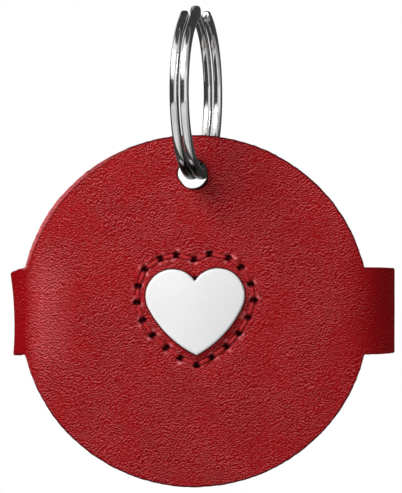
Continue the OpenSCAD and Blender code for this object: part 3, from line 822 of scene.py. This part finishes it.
def heart_cap(front, root):
    """Pillowed heart: a crowned face, a rounded rim and straight sides down to its root."""
    loop = heart_outline(0, HEART_STEP)
    cut = Cut(loop, HEART_RIM, HEART_RIM_DROP, HEART_RINGS)
    rows = [cut.offset(d, [loop]) for d in HEART_RINGS]
    spread = hexagonal(loop, HEART_GRID)
    spread = spread[inside(spread, [loop])]
    spread = spread[cut.away(spread) > max(HEART_RINGS) + GRID_GAP * HEART_GRID]
    flat, triangles = triangulated([loop], np.vstack(rows + [spread]))
    away = cut.away(flat)
    reach = np.linalg.norm(flat - CROWN_AT, axis=1) / (LOBE_AT[0] + LOBE_R)
    depth = front + HEART_CROWN * reach ** 2 + profile(away, HEART_RIM, HEART_RIM_DROP)
    top = np.column_stack([flat[:, 0], depth, flat[:, 1] + DISC_Z])
    ordered = wound(triangles, top, top - [0, 1, 0])
    foot = top.copy()
    foot[:, 1] = root
    return np.vstack([top, foot]), sheet_faces(ordered, len(flat))


def heart_button():
    """The heart with the flange and the foot that it has inside the case."""
    low, high = box_mm("heart_button")
    _, seal_high = box_mm("button_seal")
    plunger_low, _ = box_mm("switch_plunger")
    flange = heart_outline(FLANGE_OUT, FLANGE_STEP, round_tip=True)
    flange_back = plunger_low.y - PLUNGER_GAP
    shells = [
        heart_cap(low.y, seal_high.y),
        slab(flange, seal_high.y, flange_back),
        slab(round_hole((0, 0), FOOT_R, FOOT_STEP), flange_back, high.y - FOOT_CLEAR)]
    return piece_of("heart_cap", mesh_of("heart_cap", *merged(shells)))


# Split ring
RING_R = 13.82
RING_Z = -13.18
RING_X = 0.34
RING_YAW = math.radians(12.0)
WIRE_RADIAL = 2.0
COILS_WIDE = 3.15
COIL_GAP = 0.34
WIRE_SQUARE = 0.62
STEP_AT = 3.0
STEP_SPAN = 28.0
END_ROOM = 3.0
END_TAPER = 3
END_BLUNT = 0.35
WIRE_SIDES = 28
# How low on the ring its colour is painted dark: a painted reflection of the dark hide
DARK_REFLECTION_HEIGHTS = (0.76, 0.86)
WIRE_DEGREES = 2.5


def wire_offset(angle):
    """Which side of the ring the wire is on, from -1 to 1, at an angle along its two turns."""
    start = 360 + STEP_AT - STEP_SPAN / 2
    return 2 * float(smooth(np.array(angle), start, start + STEP_SPAN)) - 1


def squared(value):
    return np.sign(value) * np.abs(value) ** WIRE_SQUARE


def key_ring():
    """Two turns of flattened wire that lie against each other, with rounded ends."""
    axial = (COILS_WIDE - COIL_GAP) / 2
    start = STEP_AT + STEP_SPAN / 2 + END_ROOM
    end = start + 720 - STEP_SPAN - 2 * END_ROOM
    angles = np.arange(start, end, WIRE_DEGREES)
    around = round_angles(WIRE_SIDES)
    rings, painted_dark = [], []
    for angle in angles:
        from_end = min(angle - start, angles[-1] - angle)
        end_size = min(1, math.sqrt(from_end / END_TAPER + END_BLUNT))
        middle = wire_offset(angle) * (axial + COIL_GAP) / 2
        sideways = middle + end_size * axial / 2 * squared(np.cos(around))
        radius = RING_R + end_size * WIRE_RADIAL / 2 * squared(np.sin(around))
        turn = math.radians(angle)
        rings.append(np.column_stack([sideways, -radius * math.sin(turn), radius * math.cos(turn)]))
        # Painted reflection: the cut ends and the lower part of the ring are painted dark, where they would
        # mirror dark things
        cut_end = angle in (angles[0], angles[-1])
        painted_dark.append(np.full(WIRE_SIDES, 1.0 if cut_end else -math.cos(turn)))
    points = np.vstack(rings)
    cos, sin = math.cos(-RING_YAW), math.sin(-RING_YAW)
    x = points[:, 0] * cos - points[:, 1] * sin
    y = points[:, 0] * sin + points[:, 1] * cos
    corners = np.column_stack([x + RING_X, y, points[:, 2] + RING_Z])
    mesh = mesh_of("key_ring", corners, tube_faces(len(angles), WIRE_SIDES))
    store(mesh, "dark", smooth(np.concatenate(painted_dark), *DARK_REFLECTION_HEIGHTS))
    return piece_of("key_ring", mesh)


# Shader nodes
def set_inputs(tree, made, sockets):
    """Links a node's inputs to sockets, or sets them to plain values."""
    for key, value in sockets.items():
        if isinstance(value, bpy.types.NodeSocket):
            tree.links.new(value, made.inputs[key])
        else:
            made.inputs[key].default_value = value


def node(tree, kind, sockets=None, **settings):
    """A shader node with its settings, and its inputs set or linked."""
    made = tree.nodes.new("ShaderNode" + kind)
    for key, value in settings.items():
        setattr(made, key, value)
    set_inputs(tree, made, sockets or {})
    return made


def math_node(tree, operation, a, b, clamp=False):
    return node(tree, "Math", {0: a, 1: b}, operation=operation, use_clamp=clamp).outputs[0]


def product(tree, a, b):
    return math_node(tree, "MULTIPLY", a, b)


def mixed(tree, factor, a, b, blend="MIX"):
    """Colour a turned into colour b by a factor."""
    made = node(tree, "Mix", {0: factor, 6: a, 7: b}, data_type="RGBA", blend_type=blend)
    return made.outputs[2]


def ramp(tree, factor, stops):
    """A colour for each place along a factor."""
    made = node(tree, "ValToRGB", {"Fac": factor})
    elements = made.color_ramp.elements
    while len(elements) < len(stops):
        elements.new(0.5)
    for element, (place, colour) in zip(elements, stops):
        element.position = place
        element.color = colour
    return made.outputs["Color"]


def tone(value, tint=(1.0, 1.0, 1.0)):
    """A grey, or a light tint of it, as a colour."""
    return tuple(value * t for t in tint) + (1,)


# Where most values of a noise lie
MOST = (0.3, 0.7)


def two_tone(tree, factor, dark, light):
    return ramp(tree, factor, list(zip(MOST, (dark, light))))


def ranged(tree, value, low, high, to_low=0.0, to_high=1.0):
    sockets = {"Value": value, "From Min": low, "From Max": high, "To Min": to_low, "To Max": to_high}
    return node(tree, "MapRange", sockets, clamp=True).outputs["Result"]


def new_material(name):
    """A material with its node tree and its shader."""
    made = bpy.data.materials.new(name)
    made.use_nodes = True
    return made, made.node_tree, made.node_tree.nodes["Principled BSDF"]


def bump(tree, height, depth, strength=1.0):
    """A bump of a depth in metres."""
    return node(tree, "Bump", {"Height": height, "Distance": depth, "Strength": strength}).outputs["Normal"]


def attribute(tree, name, output="Fac"):
    return node(tree, "Attribute", attribute_name=name).outputs[output]


def moved(tree, vector, scale, turn=0.0):
    """Texture coordinates turned and then scaled."""
    sockets = {"Vector": vector, "Rotation": (0, 0, turn), "Scale": scale}
    return node(tree, "Mapping", sockets, vector_type="TEXTURE").outputs["Vector"]


def noise_of(tree, vector, scale, detail=2.0, rough=0.5):
    sockets = {"Vector": vector, "Scale": scale, "Detail": detail, "Roughness": rough}
    return node(tree, "TexNoise", sockets).outputs["Fac"]


# Leather
GRAIN_TURN = math.radians(17)
BEND_TURN = math.radians(-4)
BEND_FROM = (-16.0, -24.0)
WANDER_SCALE, WANDER = 0.3, 1.6
FOLDS = {"Scale": 2.05, "Frequency": 1.15, "Anisotropy": 0.6}
SPECKS, SPECK_SHARE = (5.0, 1.5, 0.6), 0.3
RED_DEEP = (0.190, 0.0012, 0.0025, 1)
RED_MID = (0.310, 0.0030, 0.0060, 1)
# Partly painted highlight: the pinker colour of the grain's ridges
RED_LIGHT = (0.500, 0.070, 0.075, 1)
# Painted highlight colour: the left bend's sheen and the stitch lips
RED_HIGHLIGHT = (0.84, 0.21, 0.23, 1)
# Painted light on the lit cut edges
RED_LIT_EDGE = (0.52, 0.105, 0.112, 1)
RED_DYE = (0.075, 0.003, 0.005, 1)
# Painted shade in holes and where the thread goes down
RED_PIT_SHADE = (0.060, 0.004, 0.005, 1)


def part(tree, vector, axis):
    return node(tree, "SeparateXYZ", {"Vector": vector}).outputs[axis]


def wrinkles(tree, vector, turn):
    """Short fine wrinkles of a smooth hide, which run mostly along one direction."""
    sockets = {"Vector": vector, "Orientation": turn + math.pi / 2, **FOLDS}
    folds = node(tree, "TexGabor", sockets, gabor_type="2D").outputs["Value"]
    return mixed(tree, SPECK_SHARE, folds, noise_of(tree, vector, *SPECKS))


def grain_height(tree, flat):
    """Height of the grain: wrinkles that run up to the right, and across at the left bend."""
    wander = node(tree, "TexNoise", {"Vector": flat, "Scale": WANDER_SCALE, "Detail": 2.0})
    drift = node(tree, "VectorMath", {0: wander.outputs["Color"], 1: (0.5, 0.5, 0.5)}, operation="SUBTRACT")
    push = node(tree, "VectorMath", {0: drift.outputs[0], "Scale": WANDER}, operation="SCALE")
    loose = node(tree, "VectorMath", {0: flat, 1: push.outputs[0]}, operation="ADD").outputs[0]
    diagonal = wrinkles(tree, loose, GRAIN_TURN)
    level = wrinkles(tree, loose, BEND_TURN)
    return mixed(tree, ranged(tree, part(tree, flat, "X"), *BEND_FROM), diagonal, level)


# Ranges: from two values, along the flat hide or of a height, to two shares
SHEEN_START, SHEEN_END = (-20.0, -24.0), (-28.8, -26.0)
SHEEN_HALF = (11.0, 6.0)
SHEEN_RIDGES = (0.40, 0.62, 0.03, 0.22)
RIGHT_START, RIGHT_END = (24.0, 30.0, 0.0, 0.75), (50.0, 42.0)
LEFT_START, LEFT_END = (-25.8, -28.8, 0.0, 0.5), (-50.0, -42.0)
LEFT_CALM = 0.41
WORN_PATCHES = (0.45, 0.6, 0.0, 0.45)
PATCH_SHADE = (0.93, 1.07)
RIM_OFF_DISC = (26.0, 29.0, 1.0, 0.3)
LIT_EDGE_PATCHES = (0.25, 0.6, 0.4, 1.0)
GRAIN_ROUGH = (0.62, 0.44)
GRAIN_GLOSS = (0.04, 0.01)
GRAIN_DEEP = 0.00026


def painted_bend_sheen(tree, flat, height):
    """How much the ridges of the grain are painted pale at the left bend: a painted sheen where the bend
    catches the light.
    """
    s = part(tree, flat, "X")
    off = math_node(tree, "ABSOLUTE", part(tree, flat, "Y"), 0.0)
    along = product(tree, ranged(tree, s, *SHEEN_START), ranged(tree, s, *SHEEN_END))
    bend = product(tree, along, ranged(tree, off, *SHEEN_HALF))
    return product(tree, bend, ranged(tree, height, *SHEEN_RIDGES))


def leather_grain():
    """Red grain side: fine wrinkles, a dyed edge with painted light on one side, painted highlights on the
    stitch lips and the left bend, and painted shade in the stitch holes.
    """
    made, tree, shader = new_material("red_grain")
    flat = attribute(tree, "flat", "Vector")
    height = grain_height(tree, flat)
    s = part(tree, flat, "X")
    right = product(tree, ranged(tree, s, *RIGHT_START), ranged(tree, s, *RIGHT_END))
    left = product(tree, ranged(tree, s, *LEFT_START), ranged(tree, s, *LEFT_END))
    wear_and_painted_light = ranged(tree, noise_of(tree, flat, 0.11, 1.0), *WORN_PATCHES)
    right_calm = mixed(tree, right, mixed(tree, wear_and_painted_light, height, tone(0.5)), tone(0.5))
    calm = mixed(tree, left, right_calm, tone(LEFT_CALM))
    # Grain colour by height: the hide's own tone, with ridges painted pinker as a painted highlight
    red = ramp(tree, calm, [(0.41, RED_DEEP), (0.5, RED_MID), (0.59, RED_LIGHT)])
    shade = ranged(tree, noise_of(tree, flat, 0.09, 3.0), *MOST, *PATCH_SHADE)
    even = mixed(tree, 1.0, red, shade, "MULTIPLY")
    # Painted sheen: the grain's ridges painted pale at the left bend
    toned = mixed(tree, painted_bend_sheen(tree, flat, height), even, RED_HIGHLIGHT)
    off_disc = ranged(tree, math_node(tree, "ABSOLUTE", s, 0.0), *RIM_OFF_DISC)
    # The dyed edge, with the painted shade of its crease line
    rim = product(tree, attribute(tree, "rim"), off_disc)
    # Painted light: the cut edge painted pale on its lit side, in patches
    patchy_lit_edge = product(tree, attribute(tree, "painted_lit_edge"), ranged(tree, noise_of(tree, flat, 2.2, 3.0), *LIT_EDGE_PATCHES))
    edge = mixed(tree, patchy_lit_edge, mixed(tree, rim, toned, RED_DYE), RED_LIT_EDGE)
    # Painted highlights on the lips round the stitch holes
    lip_highlighted = mixed(tree, attribute(tree, "lip_highlight"), edge, RED_HIGHLIGHT)
    # Painted shade in and round the holes, and the ring's painted shadow
    dark = attribute(tree, "dark")
    stretched = math_node(tree, "ADD", right, left)
    covered = math_node(tree, "MAXIMUM", math_node(tree, "MAXIMUM", rim, dark), stretched)
    set_inputs(tree, shader, {
        "Base Color": mixed(tree, dark, lip_highlighted, RED_PIT_SHADE),
        "Roughness": ranged(tree, calm, *MOST, *GRAIN_ROUGH),
        "Specular IOR Level": ranged(tree, covered, 0.0, 1.0, *GRAIN_GLOSS),
        "Normal": bump(tree, calm, GRAIN_DEEP)})
    return made


FLESH_DEEP = (0.17, 0.030, 0.030, 1)
FLESH_MID = (0.27, 0.062, 0.058, 1)
FLESH_PALE = (0.38, 0.13, 0.115, 1)
FLESH_FIBRES = (2.6, 5.0, 0.7)


def leather_flesh():
    """Matt flesh side with short fibres."""
    made, tree, shader = new_material("red_flesh")
    flat = attribute(tree, "flat", "Vector")
    fibres = noise_of(tree, moved(tree, flat, (1.0, 2.2, 1.0), GRAIN_TURN), *FLESH_FIBRES)
    blend = mixed(tree, 0.4, fibres, noise_of(tree, flat, 0.25, 3.0))
    colour = ramp(tree, blend, [(0.3, FLESH_DEEP), (0.52, FLESH_MID), (0.75, FLESH_PALE)])
    set_inputs(tree, shader, {
        # Painted light: the cut edge painted pale on its lit side
        "Base Color": mixed(tree, attribute(tree, "painted_lit_edge"), colour, RED_LIT_EDGE),
        "Roughness": 0.92,
        "Specular IOR Level": 0.2,
        "Normal": bump(tree, fibres, 0.00018)})
    return made


def object_coords(tree):
    """Object coordinates in millimetres."""
    place = node(tree, "TexCoord").outputs["Object"]
    return node(tree, "VectorMath", {0: place, "Scale": 1 / MM}, operation="SCALE").outputs[0]


THREAD_DEEP = (0.27, 0.003, 0.006, 1)
THREAD_MID = (0.44, 0.009, 0.014, 1)
THREAD_PALE = (0.62, 0.075, 0.085, 1)


def thread_material():
    """Red thread with fine fibres, with painted shade where it goes down into the hide."""
    made, tree, shader = new_material("red_thread")
    fibres = noise_of(tree, object_coords(tree), 9.0, 3.0)
    sunk_shade = attribute(tree, "dark")
    red = ramp(tree, fibres, [(0.3, THREAD_DEEP), (0.55, THREAD_MID), (0.75, THREAD_PALE)])
    set_inputs(tree, shader, {
        "Base Color": mixed(tree, sunk_shade, red, RED_PIT_SHADE),
        "Roughness": 0.55,
        "Specular IOR Level": ranged(tree, sunk_shade, 0.0, 1.0, 0.2, 0.0),
        "Normal": bump(tree, fibres, 0.00004)})
    return made


def metal(name, dark, light, rough_low, rough_high, stretch=(1.0, 1.0, 1.0), depth=0.000003, wear_and_painted_light=None):
    """Polished or brushed metal with fine scratches and smears, and a darker colour where its mesh is marked
    dark: a painted reflection of dark surroundings.
    """
    made, tree, shader = new_material(name)
    place = object_coords(tree)
    scratches = noise_of(tree, moved(tree, place, stretch), 2.5, 6.0, 0.65)
    clean = two_tone(tree, noise_of(tree, place, 0.35, 3.0), dark, light)
    set_inputs(tree, shader, {
        "Base Color": clean if wear_and_painted_light is None else mixed(tree, attribute(tree, "dark"), clean, wear_and_painted_light),
        "Metallic": 1.0,
        "Roughness": ranged(tree, scratches, *MOST, rough_low, rough_high),
        "Normal": bump(tree, scratches, depth)})
    return made


def plastic(name, dark, light, roughness, grain_scale, depth):
    """Moulded plastic with a fine texture and a slight unevenness of colour."""
    made, tree, shader = new_material(name)
    place = object_coords(tree)
    texture = noise_of(tree, place, grain_scale, 4.0)
    set_inputs(tree, shader, {
        "Base Color": two_tone(tree, noise_of(tree, place, 0.2, 2.0), dark, light),
        "Roughness": ranged(tree, texture, *MOST, roughness - 0.04, roughness + 0.06),
        "Specular IOR Level": 0.5,
        "Normal": bump(tree, texture, depth)})
    return made


MASK_DEEP = (0.010, 0.085, 0.045, 1)
MASK_LIGHT = (0.016, 0.120, 0.062, 1)
TRACK_GREEN = (0.035, 0.21, 0.10, 1)


def board_material():
    """Green solder mask over copper tracks."""
    made, tree, shader = new_material("board_mask")
    place = object_coords(tree)
    cells = node(tree, "TexVoronoi", {"Vector": place, "Scale": 0.6}, distance="MANHATTAN",
                 feature="DISTANCE_TO_EDGE")
    tracks = ranged(tree, cells.outputs["Distance"], 0.05, 0.09)
    mask = two_tone(tree, noise_of(tree, place, 4.0, 3.0), MASK_DEEP, MASK_LIGHT)
    set_inputs(tree, shader, {
        "Base Color": mixed(tree, tracks, TRACK_GREEN, mask),
        "Roughness": 0.38,
        "Normal": bump(tree, tracks, 0.00003)})
    return made


# Studio
AMBIENT = 0.14
CAMERA_AWAY = 700.0
CAMERA_AT = (1.12, -39.4)
FRAME_HIGH = 83.9
SENSOR = 36.0
FLOOR_DROP = 75.0
FLOOR_R = 420.0
FLOOR_SIDES = 96
FLOOR_FADE = (0.3 * FLOOR_R, 0.95 * FLOOR_R)


def make_world():
    """White where it is seen, directly or in metal, and a plain soft light elsewhere."""
    world = bpy.data.worlds.new("studio")
    world.use_nodes = True
    bpy.context.scene.world = world
    tree = world.node_tree
    path = node(tree, "LightPath")
    shown = math_node(tree, "ADD", path.outputs["Is Camera Ray"], path.outputs["Is Glossy Ray"])
    shown = math_node(tree, "ADD", shown, path.outputs["Is Transmission Ray"], clamp=True)
    back = tree.nodes["Background"]
    back.inputs["Color"].default_value = (1, 1, 1, 1)
    tree.links.new(ranged(tree, shown, 0.0, 1.0, AMBIENT, 1.0), back.inputs["Strength"])


def aimed(made, at, target):
    """Turns a lamp or a camera at a place towards a target."""
    made.location = Vector(at) * MM
    made.rotation_euler = (Vector(target) - Vector(at)).to_track_quat("-Z", "Y").to_euler()


def softbox(name, at, size, watts, mirrored_too=True):
    """A square lamp, which polished metal may show or not."""
    lamp = bpy.data.lights.new(name, "AREA")
    lamp.shape = "RECTANGLE"
    lamp.size, lamp.size_y = size[0] * MM, size[1] * MM
    lamp.energy = watts
    made = piece_of(name, lamp)
    made.visible_camera = False
    made.visible_glossy = mirrored_too
    aimed(made, at, (0, 0, DISC_Z))


def make_camera():
    camera = bpy.data.cameras.new("camera")
    camera.sensor_width = SENSOR
    camera.lens = SENSOR * CAMERA_AWAY / FRAME_HIGH
    camera.clip_start = 0.01
    made = piece_of("camera", camera)
    x, z = CAMERA_AT
    aimed(made, (x, FRONT_Y - CAMERA_AWAY, z), (x, FRONT_Y, z))
    bpy.context.scene.camera = made


def make_floor():
    """Pale floor below the hanging tag, which fades into the white round it."""
    angles = round_angles(FLOOR_SIDES)
    heights = np.full(FLOOR_SIDES, front_low.z - FLOOR_DROP)
    corners = np.column_stack([FLOOR_R * np.cos(angles), FLOOR_R * np.sin(angles), heights])
    floor = piece_of("floor", mesh_of("floor", corners, [tuple(range(FLOOR_SIDES))]))
    made, tree, shader = new_material("pale_floor")
    place = object_coords(tree)
    flat = node(tree, "VectorMath", {0: place, 1: (1, 1, 0)}, operation="MULTIPLY").outputs[0]
    away = node(tree, "VectorMath", {0: flat}, operation="LENGTH").outputs["Value"]
    set_inputs(tree, shader, {
        "Base Color": two_tone(tree, noise_of(tree, place, 0.02), tone(0.87), tone(0.9)),
        "Roughness": 0.8})
    clear = node(tree, "BsdfTransparent")
    fade = ranged(tree, away, *FLOOR_FADE)
    both = node(tree, "MixShader", {0: fade, 1: shader.outputs[0], 2: clear.outputs[0]})
    tree.links.new(both.outputs[0], tree.nodes["Material Output"].inputs["Surface"])
    floor.data.materials.append(made)
    floor.visible_glossy = False


FLAG_AWAY = 2000.0
FLAG_STEP = 10.0
INNER_FLAG = (-14.0, 2.4, -24.5, -13.6, 2.0)
# Heights of the cards, in degrees above the level
LOW, LEVEL, HIGH, OVERHEAD = (-88, -15), (-15, 15), (15, 63), (63, 88)


def flag(name, turns, rises, level):
    """A plain card that only shows in reflections, as the flags round a polished thing do.

    turns are the degrees to the right of the camera's side, and rises those above the level."""
    columns = np.radians(np.linspace(*turns, 1 + math.ceil((turns[1] - turns[0]) / FLAG_STEP)))
    rows = np.radians(np.linspace(*rises, 1 + math.ceil((rises[1] - rises[0]) / FLAG_STEP)))
    turn, rise = (grid.ravel() for grid in np.meshgrid(columns, rows))
    away = np.column_stack([np.sin(turn) * np.cos(rise), -np.cos(turn) * np.cos(rise), np.sin(rise)])
    wide = len(columns)
    faces = [
        (r * wide + c, r * wide + c + 1, (r + 1) * wide + c + 1, (r + 1) * wide + c)
        for r in range(len(rows) - 1) for c in range(wide - 1)]
    dress_card(piece_of(name, mesh_of(name, away * FLAG_AWAY + [0, 0, RING_Z], faces)), level)


def inner_flag(name, level):
    """A small card in the ring, which only the upper part of its far half sees."""
    left, right, low, high, y = INNER_FLAG
    corners = [(left, y, low), (right, y, low), (right, y, high), (left, y, high)]
    dress_card(piece_of(name, mesh_of(name, corners, [(0, 1, 2, 3)])), level)


def dress_card(card, level):
    """Makes a piece a card of one brightness that only reflections see."""
    made, tree, _ = new_material(card.name)
    glow = node(tree, "Emission", {"Color": tone(level)})
    tree.links.new(glow.outputs[0], tree.nodes["Material Output"].inputs["Surface"])
    card.data.materials.append(made)
    for rays in ("camera", "diffuse", "shadow", "transmission"):
        setattr(card, "visible_" + rays, False)


def make_flags():
    """Dark cards above, behind and at the left of the camera, and lighter ones elsewhere."""
    flag("front_flag", (-110, -10), LEVEL, 0.05)
    inner_flag("inner_flag", 0.05)
    flag("front_right_flag", (5, 40), LEVEL, 0.4)
    flag("top_flag", (-90, 90), OVERHEAD, 0.07)
    flag("back_flag", (90, 200), (15, 88), 0.05)
    flag("back_left_flag", (200, 270), (40, 88), 0.05)
    flag("rear_flag", (164, 196), LEVEL, 0.35)
    flag("right_flag", (40, 120), LEVEL, 0.5)
    flag("far_right_flag", (120, 164), LEVEL, 0.05)
    flag("high_right_flag", (45, 90), HIGH, 0.5)
    flag("left_flag", (-164, -110), LEVEL, 0.03)
    flag("high_flag", (-90, 4), HIGH, 1.03)
    flag("high_middle_flag", (4, 45), HIGH, 0.58)
    flag("low_flag", (-75, 40), LOW, 0.8)
    flag("low_right_flag", (40, 110), LOW, 0.35)
    flag("low_back_flag", (110, 285), LOW, 0.05)


# The pieces: each cut's width and drop, and how much painted shade it gets
HEART_CUT, HEART_SHADE = (0.28, 0.2), 0.25
RING_CUT, RING_SHADE, RING_SHADOW = (0.35, 0.25), 1.0, 0.5
RING_LEAN = np.array([-0.38, 0.22])
STITCH_CUT, STITCH_SHADE = (0.26, 0.25), 0.8
FINE_CUT = (0.2, 0.1)
LINING_CUT = (0.25, 0.15)
LINING_RINGS = (0.1, 0.25)
AWL_STEP = 0.15
HALF_T = LEATHER_T / 2


def shank_cut(s):
    """The snap's hole in a tongue."""
    return Cut(round_hole((s, 0), SHANK_HOLE_R, EDGE_STEP), *FINE_CUT, ())


def hide_front(heart_hole):
    """Front of the hide with its left tongue."""
    outline, cut_run = front_outline()
    ring_hole = round_hole((-HOLE_LEFT, HOLE_UP), RING_HOLE_R, EDGE_STEP)
    cuts = [
        Cut(cut_run, EDGE_WIDTH, EDGE_DROP, EDGE_RINGS, rim=1.0, whole=False),
        Cut(blunted(heart_hole, NOTCH_CUT), *HEART_CUT, HOLE_RINGS, dark=HEART_SHADE),
        Cut(ring_hole, *RING_CUT, HOLE_RINGS, dark=RING_SHADE, ring_shadow=RING_SHADOW, lean=RING_LEAN),
        shank_cut(LEFT_X - math.pi * LEFT_MID - (SNAP_X - LEFT_X))]
    for at, angle in STITCHES:
        cuts.append(Cut(stitch_hole(at, angle), *STITCH_CUT, STITCH_RINGS, dark=STITCH_SHADE))
    return hide_sheet("leather_front", outline, cuts, HALF_T, -HALF_T, bent, grain_relief, SEAM_TREE)


def hide_strap():
    """Outer half of the right bend, and the flap."""
    outline, cut_run = strap_outline()
    cuts = [
        Cut(cut_run, EDGE_WIDTH, EDGE_DROP, EDGE_RINGS, rim=1.0, whole=False),
        shank_cut(RIGHT_X + math.pi * RIGHT_MID + (RIGHT_X - SNAP_X))]
    return hide_sheet("leather_strap", outline, cuts, HALF_T, -HALF_T, bent, grain_relief)


def hide_lining(heart_hole):
    """Thin patch that the seam holds behind the front."""
    outline = round_hole((0, 0), LINING_R, EDGE_STEP)
    cuts = [
        Cut(outline, *LINING_CUT, LINING_RINGS),
        Cut(heart_hole, *FINE_CUT, LINING_RINGS[:1])]
    for at in HOLE_CENTRES:
        cuts.append(Cut(round_hole(at, AWL_R, AWL_STEP), *FINE_CUT, LINING_RINGS[:1]))
    return hide_sheet("leather_lining", outline, cuts, -HALF_T, -HALF_T - LINING_T, bent)


def make_hide(grain, flesh):
    """Front, strap and lining of the hide, which don't show in the ring's reflections."""
    heart_hole = heart_outline(HEART_GAP, EDGE_STEP)
    front, strap, lining = hide_front(heart_hole), hide_strap(), hide_lining(heart_hole)
    for piece, slot in ((front, "red_leather"), (strap, "red_leather"), (lining, "lining_leather")):
        piece.visible_glossy = False
        piece.data.materials.append(grain if piece is not lining else flesh)
        piece.data.materials.append(flesh)
    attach(front, "tag")
    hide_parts("front_leather")
    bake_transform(strap)
    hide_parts("strap_flap")
    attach(lining, "tag")
    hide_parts("heart_lining")


def make_threads():
    """Thread on both sides of the seam."""
    red = thread_material()
    sides = [
        ("seam_thread_front", THREAD_R, HALF_T - THREAD_SUNK, "front_stitches"),
        ("seam_thread_back", BACK_THREAD_R, -HALF_T - LINING_T - BACK_THREAD_R, "back_stitches")]
    for name, radius, top, solid in sides:
        thread = thread_ring(name, radius, top, -HALF_T)
        thread.data.materials.append(red)
        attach(thread, "tag")
        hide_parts(solid)


def make_heart(white):
    heart = heart_button()
    heart.data.materials.append(white)
    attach(heart, "button")
    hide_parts("heart_button")


def make_ring(steel):
    ring = key_ring()
    ring.data.materials.append(steel)
    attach(ring, "ring")
    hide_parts("split_ring")


WARM_WHITE = (1, 0.995, 0.98)
BRIGHT_WHITE = (1, 0.995, 0.985)
NICKEL_TINT = (1, 0.99, 0.97)
CHROME_TINTS = (1, 0.99, 0.975), (1, 0.99, 0.98)
CLAY_TINTS = (1, 0.86, 0.66), (1, 0.88, 0.7)
GOLD_TINTS = (1, 0.78, 0.36), (1, 0.8, 0.4)


def dress_solids():
    """Finishes of the solids that show as they are."""
    white = plastic("case_white", tone(0.80, WARM_WHITE), tone(0.84, BRIGHT_WHITE), 0.36, 6.0, 0.000012)
    black = plastic("moulded_black", tone(0.020), tone(0.034), 0.45, 5.0, 0.00002)
    rubber = plastic("silicone_grey", tone(0.16), tone(0.22, (1, 1, 1.04)), 0.7, 7.0, 0.00002)
    clay_dark, clay_light = tone(0.55, CLAY_TINTS[0]), tone(0.66, CLAY_TINTS[1])
    ceramic = plastic("fired_ceramic", clay_dark, clay_light, 0.5, 5.0, 0.00001)
    nickel = metal("snap_nickel", tone(0.60, NICKEL_TINT), tone(0.74, NICKEL_TINT), 0.16, 0.3)
    zinc = metal("screw_zinc", tone(0.48), tone(0.6), 0.25, 0.42)
    tin = metal("shield_tin", tone(0.56), tone(0.66), 0.28, 0.45, (1.0, 5.0, 5.0))
    can = metal("cell_can", tone(0.60), tone(0.7), 0.22, 0.4, (6.0, 1.0, 1.0))
    gold = metal("contact_gold", tone(0.68, GOLD_TINTS[0]), tone(0.8, GOLD_TINTS[1]), 0.2, 0.34)
    finishes = {
        white: "front_housing rear_housing battery_door switch_plunger",
        rubber: "button_seal housing_gasket sounder_gasket door_pad",
        black: "tact_switch sounder cell_cradle",
        ceramic: "chip_antenna capacitors",
        nickel: "snap_cap snap_socket snap_stud snap_post",
        zinc: "housing_screws",
        tin: "radio_shield crystal",
        can: "coin_cell",
        gold: "positive_contact negative_contact",
        board_material(): "circuit_board"}
    for finish, names in finishes.items():
        for name in names.split():
            NODES[name].data.materials.clear()
            NODES[name].data.materials.append(finish)


bpy.context.scene.view_settings.view_transform = "Standard"
make_camera()
make_world()
make_floor()
make_flags()
softbox("key", (-110, -150, 125), (110, 110), 0.59)
softbox("side", (-300, -120, 10), (160, 160), 0.26, mirrored_too=False)
softbox("fill", (560, -700, 100), (500, 600), 0.86)
softbox("back", (-300, 700, 500), (600, 600), 6.0, mirrored_too=False)
make_hide(leather_grain(), leather_flesh())
make_threads()
make_heart(plastic("heart_white", tone(0.82), tone(0.84), 0.2, 3.0, 0.000004))
chrome_dark, chrome_light = tone(0.70, CHROME_TINTS[0]), tone(0.84, CHROME_TINTS[1])
# The ring's painted reflection of the hide: dark grey on its lower part and cut ends
make_ring(metal("ring_chrome", chrome_dark, chrome_light, 0.06, 0.16, wear_and_painted_light=tone(0.17)))
dress_solids()
